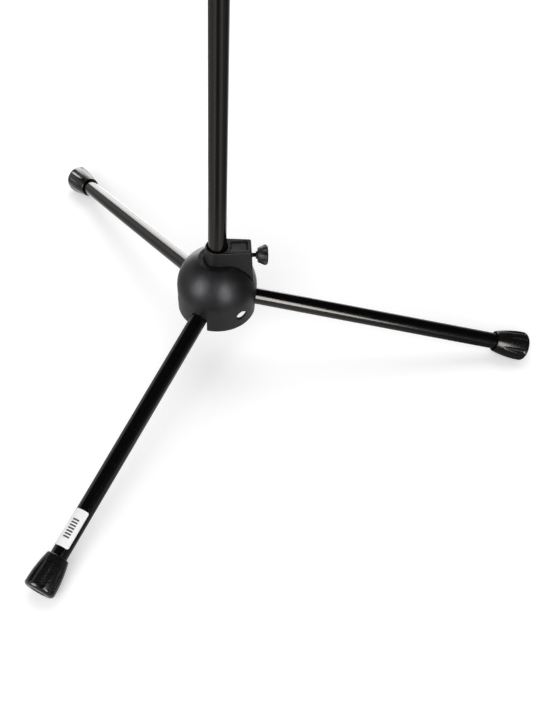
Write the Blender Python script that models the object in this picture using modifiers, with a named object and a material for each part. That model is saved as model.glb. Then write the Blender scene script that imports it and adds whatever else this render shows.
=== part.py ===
"""Tripod microphone stand: folding base with a domed hub, and a telescopic pole.

Metres, +Z up. The origin is on the floor under the pole's axis, and leg b points along +X.
The hub is drawn from a datum, the point where the axes of the three legs meet the pole's axis.
"""
from math import acos, asin, atan2, cos, hypot, pi, radians, sin, sqrt, tan

import bmesh
import bpy
from mathutils import Matrix, Vector

# Clearances
GAP = 0.0003               # between pieces that touch
SLIDE_GAP = 0.00035        # round a tube that slides
LEG_SIDE_GAP = 0.00105     # each side of a leg in its slot
LEG_TOP_GAP = 0.00035      # between a spread leg and the top of its slot
THREAD_GAP = 0.0003        # round a screw in its hole

# Tubes
POLE_R = 0.010
POLE_WALL = 0.0013
UPPER_R = 0.008
UPPER_WALL = 0.0010
LEG_R = 0.00925
LEG_WALL = 0.0012

# Heights above the datum, and lengths
POLE_TOP_Z = 0.760
UPPER_LENGTH = 0.670
UPPER_SHOWS = 0.110        # upper tube above the lower tube when it is pushed in

# Legs
LEG_SLOPE = radians(15.78)
LEG_AZIMUTHS = {"leg_a": radians(-120), "leg_b": 0.0, "leg_c": radians(120)}
PIVOT_R = 0.0262           # pivot's distance from the pole's axis
EYE_R = 0.0096
HEEL_SHOULDER = 0.0117     # from the pivot to the tube's inner end
HEEL_PLUG = 0.028          # length inside the tube

# Feet, with places measured along the leg from the pole's axis
FOOT_MOUTH = 0.3395
FOOT_LENGTH = 0.0390
FOOT_MOUTH_R = 0.0119
FOOT_R = 0.01675
FOOT_ROUND = 0.0043
FOOT_END_WALL = 0.0055
FOOT_CUP_DEPTH = 0.0055
FOOT_CUP_WALL = 0.0013
FOOT_SWELL = 1.8           # power of the curve from the mouth to the widest ring
FOOT_FLAT = 0.0004         # depth of the flat that stands on the floor
FLUTES = 8
FLUTE_R = 0.0045
FLUTE_DEPTH = 0.0013
FLUTE_START = 0.0080       # from the mouth
FLUTE_END = 0.0058         # from the foot's outer end

# Hub
DOME_R = 0.0439
DOME_Z = 0.00644
DOME_FLAT_Z = 0.0450
RIM_R = 0.0430
RIM_Z = -0.0248
HUB_WALL = 0.0030
RIB_WALL = 0.0027
RIB_INNER = 0.0190         # where the ribs start, from the pole's axis along the leg
RIB_LIFT = 0.0008          # ribs end this far above the rim
SLEEVE_WALL = 0.0031
SLEEVE_Z = 0.0270
COLLAR_TOP_Z = 0.0630
COLLAR_R = 0.0129
COLLAR_DRAFT = 0.0013
COLLAR_CORNER = 0.0022
MOUTH_R = 0.0113
MOUTH_DEPTH = 0.0060
EDGE = 0.0006              # small chamfers

# Clamp block and what it holds
BLOCK_END_X = 0.0363
BLOCK_HALF_W = 0.0109
POCKET_X = (0.0142, 0.0322)
POCKET_HALF_W = 0.0071
POCKET_FLOOR_Z = 0.0446
INSERT_DROP = 0.0008
SCREW_Z = 0.0498
SCREW_R = 0.0025
NUT_FLATS = 0.0080
NUT_HEIGHT = 0.0040
NUT_X = 0.0225
SHOE_HALF_W = 0.0045
SHOE_HALF_H = 0.0040
SCREW_TIP_X = 0.0146

# Thumb screw's knob
KNOB_X = 0.0414
KNOB_HUB_R = 0.0043
KNOB_HUB_LENGTH = 0.0018
KNOB_NECK_R = 0.0081
KNOB_R = 0.0111
KNOB_LENGTH = 0.0129
KNOB_ROUND = 0.0032
KNOB_FLARE = radians(35)   # how far the rounding goes on past the widest ring
KNOB_STUD = 0.0077         # length of the stud inside the knob
KNOB_LOBES = 6
LOBE_CUT_R = 0.0046
LOBE_DEPTH = 0.00175

# Pivot screws
PIVOT_SCREW_R = 0.0025
PIVOT_HEAD_R = 0.0042
PIVOT_HEAD_HEIGHT = 0.0028
SOCKET_R = 0.0020
ACCESS_R = 0.0054

# Locking cone
CONE_R = 0.0205
CONE_RIM = 0.0025
CONE_NOSE_R = 0.0108
CONE_SEAT = 0.0065         # how deep the pole sits in the cone
PLUG_LENGTH = 0.024
CONE_SCREW_R = 0.0030
CONE_HEAD_R = 0.0055
CONE_HEAD_HEIGHT = 0.0030
CROSS_R = 0.0034

# Clutch
CLUTCH_R = 0.0135
CLUTCH_BELOW = 0.040       # body's reach below the pole's top
CLUTCH_ABOVE = 0.006
GRIP_R = 0.0170
GRIP_BELOW = 0.030
GRIP_ABOVE = 0.028
GRIP_CAP = 0.0050
GRIP_GROOVES = 16
GROOVE_R = 0.0016
GROOVE_DEPTH = 0.0010
COLLET_WALL = 0.0032
COLLET_SLITS = 4
COLLET_SLIT = 0.0012

# Top of the pole
BUSH_COLLAR = 0.016
BUSH_PLUG = 0.012
END_PLUG = 0.020
END_FLANGE = 0.0030
STUD_R = 0.00475           # 3/8 inch thread
STUD_LENGTH = 0.0170
DISC_R = 0.0140
DISC_HEIGHT = 0.0060
DISC_NOTCHES = 16
NOTCH_R = 0.0012
NOTCH_DEPTH = 0.0008

# Sticker on leg a
STICKER_TO_FOOT = 0.0095   # from the sticker's outer end to the foot's mouth
STICKER_LENGTH = 0.042
STICKER_HALF_ANGLE = radians(53)
STICKER_THICK = 0.00015

# Facets
HUB_SIDES = 48
BORE_SIDES = 32
TUBE_SIDES = 32
KNOB_SIDES = 36
INNER_SIDES = 20           # pieces that other pieces hide
SMALL_SIDES = 16

# Worked out
TAN_SLOPE = tan(LEG_SLOPE)
PIVOT_ALONG = PIVOT_R / cos(LEG_SLOPE)
PIVOT_Z = -PIVOT_R * TAN_SLOPE
SLOT_HALF_W = LEG_R + LEG_SIDE_GAP
RIB_OUTSIDE = SLOT_HALF_W + GAP + RIB_WALL
BORE_R = POLE_R + SLIDE_GAP
SLEEVE_R = BORE_R + SLEEVE_WALL
CONE_FACE = PIVOT_R - PIVOT_Z - (EYE_R + GAP) * sqrt(2)   # radius less height on the cone's face
HOLE_R = SCREW_R + THREAD_GAP
PIVOT_HOLE_R = PIVOT_SCREW_R + THREAD_GAP
FOOT_WIDE = FOOT_LENGTH - 1.5 * FOOT_ROUND


def arc(centre, radius, start, end, steps):
    """Points on an arc, from start to end in radians, both ends included."""
    angles = [start + (end - start) * i / steps for i in range(steps + 1)]
    return [(centre[0] + radius * cos(a), centre[1] + radius * sin(a)) for a in angles]


def foot_radius(along):
    """Radius of the foot's flank, this far from its mouth."""
    share = min(along / FOOT_WIDE, 1.0)
    return FOOT_MOUTH_R + (FOOT_R - FOOT_MOUTH_R) * (1 - (1 - share) ** FOOT_SWELL)


def foot_outline():
    """Outer points of the foot, as distance from the mouth and radius."""
    flank = [(FOOT_WIDE * i / 5, foot_radius(FOOT_WIDE * i / 5)) for i in range(6)]
    return flank + arc((FOOT_LENGTH - FOOT_ROUND, FOOT_R - FOOT_ROUND), FOOT_ROUND, pi / 2, 0, 4)


# The floor is as far below the datum as the feet reach, less the flat cut on each
HUB_Z = max((FOOT_MOUTH + s) * sin(LEG_SLOPE) + r * cos(LEG_SLOPE) for s, r in foot_outline()) - FOOT_FLAT


def clear_scene():
    for old in list(bpy.data.objects):
        bpy.data.objects.remove(old)


clear_scene()
STAND = bpy.data.collections.new("microphone_stand")
CUTTERS = bpy.data.collections.new("cutters")
bpy.context.scene.collection.children.link(STAND)
bpy.context.scene.collection.children.link(CUTTERS)


def material(name, colour, roughness, metallic=0.0):
    made = bpy.data.materials.new(name)
    made.use_nodes = True
    shader = made.node_tree.nodes["Principled BSDF"]
    shader.inputs["Base Color"].default_value = (*colour, 1.0)
    shader.inputs["Roughness"].default_value = roughness
    shader.inputs["Metallic"].default_value = metallic
    return made


HUB_PLASTIC = material("hub_plastic", (0.030, 0.030, 0.033), 0.45)
KNOB_PLASTIC = material("knob_plastic", (0.028, 0.028, 0.030), 0.5)
CLUTCH_PLASTIC = material("clutch_plastic", (0.022, 0.022, 0.024), 0.5)
INNER_PLASTIC = material("inner_plastic", (0.05, 0.05, 0.052), 0.55)
BLACK_STEEL = material("black_steel", (0.012, 0.012, 0.013), 0.22, 0.3)
FOOT_RUBBER = material("foot_rubber", (0.012, 0.012, 0.013), 0.3)
ZINC_STEEL = material("zinc_steel", (0.55, 0.56, 0.58), 0.3, 1.0)
PAPER = material("sticker_paper", (0.85, 0.85, 0.84), 0.5)


# Placing

def empty(name, matrix):
    """A named frame that pieces are placed in."""
    made = bpy.data.objects.new(name, None)
    made.empty_display_size = 0.02
    made.matrix_world = matrix
    STAND.objects.link(made)
    return made


def leg_matrix(azimuth, out):
    """Frame on a leg's axis: +X runs out along the leg and +Y along the pivot."""
    level = Matrix.Rotation(azimuth, 4, "Z") @ Matrix.Rotation(LEG_SLOPE, 4, "Y")
    return Matrix.Translation((0, 0, HUB_Z)) @ level @ Matrix.Translation((out, 0, 0))


DATUM = empty("hub_datum", Matrix.Translation((0, 0, HUB_Z)))
SCREW_AXIS = empty("thumb_screw_axis", Matrix.Translation((0, 0, HUB_Z + SCREW_Z)))
POLE_TOP = empty("pole_top", Matrix.Translation((0, 0, HUB_Z + POLE_TOP_Z)))
ALONG_X = Matrix.Rotation(pi / 2, 4, "Y")
ALONG_Y = Matrix.Rotation(-pi / 2, 4, "X")


def place(obj, frame, matrix=None, look=None):
    """Parent an object to a frame, and put it among the pieces or the cutters."""
    obj.parent = frame
    obj.matrix_basis = Matrix() if matrix is None else matrix
    if look is None:
        CUTTERS.objects.link(obj)
        obj.display_type = "WIRE"
        obj.hide_render = True
    else:
        STAND.objects.link(obj)
        obj.data.materials.append(look)
    return obj


# Shapes

def turned(name, profile, sides, closed=False):
    """A profile of (radius, height) turned about Z. It runs down its outer side."""
    mesh = bpy.data.meshes.new(name)
    last = len(profile) - 1
    edges = [(i, i + 1) for i in range(last)]
    if closed:
        edges.append((last, 0))
    mesh.from_pydata([(r, 0, z) for r, z in profile], edges, [])
    obj = bpy.data.objects.new(name, mesh)
    screw = obj.modifiers.new("turn", "SCREW")
    screw.steps = sides
    screw.render_steps = sides
    screw.use_merge_vertices = True
    screw.merge_threshold = 1e-6
    return obj


def tube(name, outer, wall, low, high, sides=TUBE_SIDES):
    """An open tube along Z."""
    inner = outer - wall
    profile = [(inner, high), (outer, high), (outer, low), (inner, low)]
    return turned(name, profile, sides, closed=True)


def rod(name, radius, low, high, sides=SMALL_SIDES, edge=0.0):
    """A solid rod along Z, with a chamfer at both ends where edge is set."""
    if edge == 0:
        return turned(name, [(0, high), (radius, high), (radius, low), (0, low)], sides)
    corners = [(radius - edge, high), (radius, high - edge), (radius, low + edge), (radius - edge, low)]
    return turned(name, [(0, high), *corners, (0, low)], sides)


def box(name, low, high):
    """A box between two corners."""
    mesh = bpy.data.meshes.new(name)
    shape = bmesh.new()
    bmesh.ops.create_cube(shape, size=1.0)
    size = Vector(high) - Vector(low)
    bmesh.ops.scale(shape, vec=size, verts=shape.verts)
    bmesh.ops.translate(shape, vec=(Vector(low) + Vector(high)) / 2, verts=shape.verts)
    shape.to_mesh(mesh)
    shape.free()
    return bpy.data.objects.new(name, mesh)


def slab(name, outline, thickness):
    """A flat outline in X and Y, given a thickness about the Z plane and made a mesh."""
    curve = bpy.data.curves.new(name, "CURVE")
    curve.dimensions = "2D"
    curve.fill_mode = "BOTH"
    curve.extrude = thickness / 2
    line = curve.splines.new("POLY")
    line.points.add(len(outline) - 1)
    for point, (x, y) in zip(line.points, outline):
        point.co = (x, y, 0, 1)
    line.use_cyclic_u = True
    guide = bpy.data.objects.new(name + "_outline", curve)
    CUTTERS.objects.link(guide)
    bpy.context.view_layer.update()
    seen = guide.evaluated_get(bpy.context.evaluated_depsgraph_get())
    mesh = bpy.data.meshes.new_from_object(seen)
    bpy.data.objects.remove(guide)
    shape = bmesh.new()
    shape.from_mesh(mesh)
    bmesh.ops.remove_doubles(shape, verts=shape.verts, dist=1e-6)
    bmesh.ops.recalc_face_normals(shape, faces=shape.faces)
    shape.to_mesh(mesh)
    shape.free()
    return bpy.data.objects.new(name, mesh)


def copies(name, source, matrices):
    """One mesh made of copies of a shape that don't meet, each moved by its matrix."""
    CUTTERS.objects.link(source)
    bpy.context.view_layer.update()
    seen = source.evaluated_get(bpy.context.evaluated_depsgraph_get())
    single = bpy.data.meshes.new_from_object(seen)
    bpy.data.objects.remove(source)
    shape = bmesh.new()
    for matrix in matrices:
        moved = single.copy()
        moved.transform(matrix)
        shape.from_mesh(moved)
        bpy.data.meshes.remove(moved)
    mesh = bpy.data.meshes.new(name)
    shape.to_mesh(mesh)
    shape.free()
    return bpy.data.objects.new(name, mesh)


def around(count, matrix=None, start=0.0):
    """Matrices for a ring of copies about Z."""
    first = Matrix() if matrix is None else matrix
    return [Matrix.Rotation(start + 2 * pi * i / count, 4, "Z") @ first for i in range(count)]


def boolean(obj, other, kind):
    step = obj.modifiers.new(kind.lower() + "_" + other.name, "BOOLEAN")
    step.operation = kind
    step.object = other
    step.solver = "EXACT"


def hexagon_prism(name, flats, hole, low, high):
    """A nut along Z: six flats and a round hole."""
    outline = arc((0, 0), flats / 2 / cos(pi / 6), 0, 2 * pi * 5 / 6, 5)
    body = slab(name, outline, high - low)
    body.data.transform(Matrix.Translation((0, 0, (low + high) / 2)))
    return body, rod(name + "_hole", hole, low - GAP, high + GAP)


# Hub housing

def dome_outline(inset, steps):
    """The dome this far inside its outer face, from the top down."""
    radius = DOME_R - inset
    flat = DOME_FLAT_Z - inset
    start = asin((flat - DOME_Z) / radius)
    return arc((0, DOME_Z), radius, start, 0, steps)


def rim_radius(z):
    """Outer radius of the skirt at a height below the dome's centre."""
    share = (DOME_Z - z) / (DOME_Z - RIM_Z)
    return DOME_R - share * (DOME_R - RIM_R)


def collar_outline(grow):
    """Plan of the collar ring and clamp block, as one tapered teardrop with round corners."""
    ring = COLLAR_R + grow
    half = BLOCK_HALF_W + grow
    end = BLOCK_END_X + grow
    corner = COLLAR_CORNER
    reach = hypot(end - corner, half - corner)
    tilt = atan2(half - corner, end - corner)
    tangent = tilt + acos((ring - corner) / reach)
    side = arc((end - corner, half - corner), corner, 0, tangent, 3)
    other = [(x, -y) for x, y in reversed(side)]
    back = arc((0, 0), ring, tangent, 2 * pi - tangent, 16)
    return side + back + other


def collar_solid():
    """The collar and block, widening downwards, as a loft between three plans."""
    bottom = DOME_Z
    levels = [(COLLAR_TOP_Z, -EDGE), (COLLAR_TOP_Z - EDGE, 0.0), (bottom, None)]
    share = (COLLAR_TOP_Z - bottom) / (COLLAR_TOP_Z - DOME_FLAT_Z)
    mesh = bpy.data.meshes.new("collar")
    shape = bmesh.new()
    loops = []
    for z, grow in levels:
        widen = COLLAR_DRAFT * share if grow is None else grow
        loop = [shape.verts.new((x, y, z)) for x, y in collar_outline(widen)]
        loops.append(loop)
    rings = []
    for loop in loops:
        ring = [shape.edges.new((loop[i - 1], loop[i])) for i in range(len(loop))]
        rings.append(ring)
    bmesh.ops.bridge_loops(shape, edges=rings[0] + rings[1])
    bmesh.ops.bridge_loops(shape, edges=rings[1] + rings[2])
    bmesh.ops.contextual_create(shape, geom=rings[0])
    bmesh.ops.contextual_create(shape, geom=rings[2])
    bmesh.ops.recalc_face_normals(shape, faces=shape.faces)
    shape.to_mesh(mesh)
    shape.free()
    return bpy.data.objects.new("collar_and_block", mesh)


def hub_ribs():
    """Two ribs beside each leg, from the middle of the hub wall inwards."""
    middle_r = DOME_R - HUB_WALL / 2
    low = RIM_Z + RIB_LIFT

    def along_leg(radius):
        return sqrt(radius ** 2 - RIB_OUTSIDE ** 2)

    end = acos(hypot(RIB_INNER, RIB_OUTSIDE) / middle_r)
    curve = arc((0, DOME_Z), middle_r, 0, end, 5)
    foot_r = rim_radius(low) - HUB_WALL / 2
    outline = [(RIB_INNER, low), (along_leg(foot_r), low)]
    outline += [(along_leg(r), z) for r, z in curve]
    plate = slab("rib", outline, RIB_WALL)
    upright = Matrix.Rotation(pi / 2, 4, "X")
    middle = RIB_OUTSIDE - RIB_WALL / 2
    matrices = []
    for azimuth in LEG_AZIMUTHS.values():
        for side in (-1, 1):
            turn = Matrix.Rotation(azimuth, 4, "Z")
            matrices.append(turn @ Matrix.Translation((0, side * middle, 0)) @ upright)
    return copies("hub_ribs", plate, matrices)


def slot_cutter():
    """Three arched slots that follow the spread legs and are open down to the rim."""
    drop = SLOT_HALF_W - LEG_R - LEG_TOP_GAP
    depth = 2 * DOME_R
    arch = arc((0, -drop), SLOT_HALF_W, 0, pi, 12)
    outline = [(SLOT_HALF_W, -depth), *arch, (-SLOT_HALF_W, -depth)]
    length = DOME_R / 2
    tunnel = slab("slot", outline, length)
    # The outline's Y becomes the height, and its thickness runs along the leg
    stand = Matrix.Rotation(pi / 2, 4, "Z") @ Matrix.Rotation(pi / 2, 4, "X")
    middle = DOME_R - 2 * HUB_WALL + length / 2
    matrices = []
    for azimuth in LEG_AZIMUTHS.values():
        slope = Matrix.Rotation(azimuth, 4, "Z") @ Matrix.Rotation(LEG_SLOPE, 4, "Y")
        matrices.append(slope @ Matrix.Translation((middle, 0, 0)) @ stand)
    return copies("leg_slots", tunnel, matrices)


def pivot_frames(extra):
    """Frames on the three pivots, each with Z along the pivot."""
    matrices = []
    for azimuth in LEG_AZIMUTHS.values():
        turn = Matrix.Rotation(azimuth, 4, "Z")
        matrices.append(turn @ Matrix.Translation((PIVOT_R, 0, PIVOT_Z)) @ ALONG_Y @ extra)
    return matrices


def hub_housing():
    outer = dome_outline(0.0, 8)
    inner = dome_outline(HUB_WALL, 5)
    inner_top = DOME_FLAT_Z - HUB_WALL
    profile = [(0, DOME_FLAT_Z), *outer]
    profile += [(RIM_R, RIM_Z + EDGE), (RIM_R - EDGE, RIM_Z), (RIM_R - HUB_WALL, RIM_Z)]
    profile += list(reversed(inner))
    profile += [(SLEEVE_R, inner_top), (SLEEVE_R, SLEEVE_Z), (0, SLEEVE_Z)]
    hub = place(turned("hub_housing", profile, HUB_SIDES), DATUM, look=HUB_PLASTIC)

    core_outline = [(0, DOME_FLAT_Z - HUB_WALL / 2), *dome_outline(HUB_WALL / 2, 6)]
    core_outline += [(RIM_R - HUB_WALL / 2, 2 * RIM_Z), (0, 2 * RIM_Z)]
    core = place(turned("dome_core", core_outline, HUB_SIDES), DATUM)
    collar = place(collar_solid(), DATUM)
    boolean(collar, core, "DIFFERENCE")
    boolean(hub, collar, "UNION")
    boolean(hub, place(hub_ribs(), DATUM), "UNION")

    bore = [(0, COLLAR_TOP_Z + MOUTH_R), (MOUTH_R + EDGE, COLLAR_TOP_Z + MOUTH_R)]
    bore += [(MOUTH_R + EDGE, COLLAR_TOP_Z), (MOUTH_R, COLLAR_TOP_Z - EDGE)]
    bore += [(MOUTH_R, COLLAR_TOP_Z - MOUTH_DEPTH), (BORE_R, COLLAR_TOP_Z - MOUTH_DEPTH - EDGE)]
    bore += [(BORE_R, SLEEVE_Z + EDGE), (BORE_R + EDGE, SLEEVE_Z), (BORE_R + EDGE, SLEEVE_Z - BORE_R)]
    bore.append((0, SLEEVE_Z - BORE_R))
    boolean(hub, place(turned("pole_bore", bore, BORE_SIDES), DATUM), "DIFFERENCE")

    pocket = box("pocket", (POCKET_X[0], -POCKET_HALF_W, POCKET_FLOOR_Z),
                 (POCKET_X[1], POCKET_HALF_W, COLLAR_TOP_Z + POCKET_HALF_W))
    boolean(hub, place(pocket, DATUM), "DIFFERENCE")
    window_w = SHOE_HALF_W + GAP
    window_h = SHOE_HALF_H + GAP
    window = box("shoe_window", (POLE_R / 2, -window_w, SCREW_Z - window_h),
                 (POCKET_X[0] + GAP, window_w, SCREW_Z + window_h))
    boolean(hub, place(window, DATUM), "DIFFERENCE")
    screw_hole = rod("screw_hole", HOLE_R, POCKET_X[1] - GAP, BLOCK_END_X + POLE_R)
    boolean(hub, place(screw_hole, SCREW_AXIS, ALONG_X), "DIFFERENCE")

    boolean(hub, place(slot_cutter(), DATUM), "DIFFERENCE")
    pin_hole = rod("pin_hole", PIVOT_HOLE_R, -RIB_OUTSIDE - EDGE, RIB_OUTSIDE + EDGE)
    boolean(hub, place(copies("pin_holes", pin_hole, pivot_frames(Matrix())), DATUM), "DIFFERENCE")
    access = rod("access_hole", ACCESS_R, -2 * DOME_R, -RIB_OUTSIDE - 2 * PIVOT_HEAD_HEIGHT, INNER_SIDES)
    boolean(hub, place(copies("access_holes", access, pivot_frames(Matrix())), DATUM), "DIFFERENCE")
    return hub


# Clamp

def clamp_insert():
    """The block that fills the pocket and holds the nut."""
    low_x = POCKET_X[0] + GAP
    high_x = POCKET_X[1] - 3 * GAP
    half = POCKET_HALF_W - GAP
    base = POCKET_FLOOR_Z + GAP
    body = box("clamp_insert", (low_x, -half, base), (high_x, half, COLLAR_TOP_Z - INSERT_DROP))
    place(body, DATUM, look=KNOB_PLASTIC)
    bevel = body.modifiers.new("edges", "BEVEL")
    bevel.width = EDGE
    bevel.segments = 2
    nut_half = NUT_FLATS / 2 + GAP
    trap = box("nut_trap", (NUT_X - GAP, -nut_half, base - POCKET_HALF_W),
               (NUT_X + NUT_HEIGHT + GAP, nut_half, SCREW_Z + NUT_FLATS / 2 / cos(pi / 6) + GAP))
    boolean(body, place(trap, DATUM), "DIFFERENCE")
    hole = rod("insert_hole", HOLE_R, low_x - EDGE, high_x + EDGE)
    boolean(body, place(hole, SCREW_AXIS, ALONG_X), "DIFFERENCE")


def clamp_nut():
    body, hole = hexagon_prism("clamp_nut", NUT_FLATS, HOLE_R, NUT_X, NUT_X + NUT_HEIGHT)
    place(body, SCREW_AXIS, ALONG_X, look=ZINC_STEEL)
    boolean(body, place(hole, SCREW_AXIS, ALONG_X), "DIFFERENCE")


def clamp_shoe():
    """The pad that the screw presses on the pole."""
    body = box("clamp_shoe", (POLE_R / 2, -SHOE_HALF_W, -SHOE_HALF_H),
               (SCREW_TIP_X - GAP, SHOE_HALF_W, SHOE_HALF_H))
    place(body, SCREW_AXIS, look=INNER_PLASTIC)
    hollow = rod("shoe_hollow", POLE_R + GAP, -2 * SHOE_HALF_H, 2 * SHOE_HALF_H, TUBE_SIDES)
    boolean(body, place(hollow, SCREW_AXIS), "DIFFERENCE")


def thumb_screw():
    stud_end = KNOB_X + KNOB_STUD
    stud = rod("thumb_stud", SCREW_R, SCREW_TIP_X, stud_end, SMALL_SIDES, EDGE)
    place(stud, SCREW_AXIS, ALONG_X, look=ZINC_STEEL)
    far = KNOB_X + KNOB_LENGTH
    neck = KNOB_X + KNOB_HUB_LENGTH
    # The knob is drawn with its far end up, so that its profile runs down the outer side
    profile = [(0, far)]
    profile += arc((KNOB_R - KNOB_ROUND, far - KNOB_ROUND), KNOB_ROUND, pi / 2, -KNOB_FLARE, 6)
    profile += [(KNOB_NECK_R, neck + EDGE), (KNOB_NECK_R - EDGE, neck), (KNOB_HUB_R, neck)]
    profile += [(KNOB_HUB_R, KNOB_X), (SCREW_R + GAP, KNOB_X), (SCREW_R + GAP, stud_end + GAP)]
    profile.append((0, stud_end + GAP))
    knob = turned("thumb_knob", profile, KNOB_SIDES)
    place(knob, SCREW_AXIS, ALONG_X, look=KNOB_PLASTIC)
    tool = rod("lobe", LOBE_CUT_R, neck + 2 * EDGE, far + KNOB_R)
    centre = KNOB_R - LOBE_DEPTH + LOBE_CUT_R
    ring = around(KNOB_LOBES, Matrix.Translation((centre, 0, 0)), pi / KNOB_LOBES)
    boolean(knob, place(copies("knob_lobes", tool, ring), SCREW_AXIS, ALONG_X), "DIFFERENCE")


# Legs

def pivot_hardware(leg, azimuth):
    """The screw and nut that a leg turns on. They stay with the hub."""
    letter = leg[-1]
    frame = empty("pivot_" + letter, Matrix.Translation((0, 0, HUB_Z)) @ Matrix.Rotation(azimuth, 4, "Z")
                  @ Matrix.Translation((PIVOT_R, 0, PIVOT_Z)))
    face = RIB_OUTSIDE + GAP
    tail = face + NUT_HEIGHT + EDGE
    head = -face - PIVOT_HEAD_HEIGHT
    profile = [(0, tail), (PIVOT_SCREW_R - EDGE, tail), (PIVOT_SCREW_R, tail - EDGE), (PIVOT_SCREW_R, -face)]
    profile += [(PIVOT_HEAD_R, -face), (PIVOT_HEAD_R, head + EDGE), (PIVOT_HEAD_R - EDGE, head), (0, head)]
    screw = turned("pivot_screw_" + letter, profile, SMALL_SIDES)
    place(screw, frame, ALONG_Y, look=ZINC_STEEL)
    socket = slab("socket_" + letter, arc((0, 0), SOCKET_R, 0, 2 * pi * 5 / 6, 5), PIVOT_HEAD_HEIGHT)
    socket_place = ALONG_Y @ Matrix.Translation((0, 0, head))
    boolean(screw, place(socket, frame, socket_place), "DIFFERENCE")
    nut, hole = hexagon_prism("pivot_nut_" + letter, NUT_FLATS, PIVOT_HOLE_R, face, face + NUT_HEIGHT)
    place(nut, frame, ALONG_Y, look=ZINC_STEEL)
    boolean(nut, place(hole, frame, ALONG_Y), "DIFFERENCE")


def leg_heel(letter, frame):
    """Eye on the pivot, shoulder and plug, drawn from the pivot outwards."""
    half = LEG_R + LEG_SIDE_GAP - GAP
    eye = rod("leg_heel_" + letter, EYE_R, -half, half, TUBE_SIDES)
    place(eye, frame, ALONG_Y, look=INNER_PLASTIC)
    plug_r = LEG_R - LEG_WALL - GAP
    end = HEEL_SHOULDER + HEEL_PLUG
    profile = [(0, end), (plug_r - EDGE, end), (plug_r, end - EDGE), (plug_r, HEEL_SHOULDER)]
    profile += [(LEG_R, HEEL_SHOULDER), (LEG_R, 0), (0, 0)]
    plug = place(turned("heel_plug_" + letter, profile, INNER_SIDES), frame, ALONG_X)
    boolean(eye, plug, "UNION")
    hole = rod("heel_hole_" + letter, PIVOT_HOLE_R, -2 * half, 2 * half)
    boolean(eye, place(hole, frame, ALONG_Y), "DIFFERENCE")


def leg_foot(letter, frame):
    """A fluted cup that the tube's end sits in, with a flat where it meets the floor."""
    mouth = FOOT_MOUTH - PIVOT_ALONG
    socket_r = LEG_R + GAP
    cup_r = FOOT_MOUTH_R - FOOT_CUP_WALL
    outer = [(r, s) for s, r in foot_outline()]
    profile = [(0, FOOT_LENGTH), *reversed(outer)]
    profile += [(cup_r, 0), (cup_r, FOOT_CUP_DEPTH - EDGE), (socket_r, FOOT_CUP_DEPTH)]
    profile += [(socket_r, FOOT_LENGTH - FOOT_END_WALL), (0, FOOT_LENGTH - FOOT_END_WALL)]
    foot = turned("foot_" + letter, profile, TUBE_SIDES)
    on_leg = Matrix.Translation((mouth, 0, 0)) @ ALONG_X
    place(foot, frame, on_leg, look=FOOT_RUBBER)

    # Each flute is cut by a round-ended rod that sinks in towards the foot's outer end
    far = FOOT_LENGTH - FLUTE_END
    run = far - FLUTE_START
    near_r = foot_radius(FLUTE_START) + FLUTE_R
    far_r = foot_radius(far) + FLUTE_R - FLUTE_DEPTH
    lean = atan2(far_r - near_r, run)
    cap = arc((0, run), FLUTE_R, pi / 2, 0, 3)
    tool = turned("flute", [*cap, (FLUTE_R, -FLUTE_R), (0, -FLUTE_R)], SMALL_SIDES)
    start = Matrix.Translation((near_r, 0, FLUTE_START)) @ Matrix.Rotation(lean, 4, "Y")
    ring = around(FLUTES, start, pi / FLUTES)
    boolean(foot, place(copies("flutes_" + letter, tool, ring), frame, on_leg), "DIFFERENCE")

    middle = frame.matrix_world @ Vector((mouth + FOOT_LENGTH / 2, 0, 0))
    floor = box("floor_" + letter, (-DOME_R, -DOME_R, -DOME_R), (DOME_R, DOME_R, 0))
    boolean(foot, place(floor, None, Matrix.Translation((middle.x, middle.y, 0))), "DIFFERENCE")


def leg(name, azimuth):
    letter = name[-1]
    frame = empty(name + "_pivot", leg_matrix(azimuth, PIVOT_ALONG))
    inner_end = HEEL_SHOULDER + GAP
    outer_end = FOOT_MOUTH - PIVOT_ALONG + FOOT_LENGTH - FOOT_END_WALL - GAP
    place(tube("leg_tube_" + letter, LEG_R, LEG_WALL, inner_end, outer_end), frame, ALONG_X, look=BLACK_STEEL)
    leg_heel(letter, frame)
    leg_foot(letter, frame)
    return frame


def sticker(frame):
    """A sheet wrapped over the top of the leg."""
    low = FOOT_MOUTH - STICKER_TO_FOOT - STICKER_LENGTH - PIVOT_ALONG
    edge = [(LEG_R + GAP, STICKER_LENGTH), (LEG_R + GAP, 0)]
    sheet = turned("leg_sticker", edge, SMALL_SIDES)
    sheet.modifiers["turn"].angle = 2 * STICKER_HALF_ANGLE
    skin = sheet.modifiers.new("thickness", "SOLIDIFY")
    skin.thickness = STICKER_THICK
    skin.offset = 1
    start = Matrix.Rotation(pi - STICKER_HALF_ANGLE, 4, "Z")
    place(sheet, frame, Matrix.Translation((low, 0, 0)) @ ALONG_X @ start, look=PAPER)


# Pole

def cone_heights():
    """Heights of the cone's nose, shoulder and top, above the datum."""
    nose = CONE_NOSE_R - CONE_FACE
    shoulder = CONE_R - CONE_FACE
    return nose, shoulder, shoulder + CONE_RIM


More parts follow.
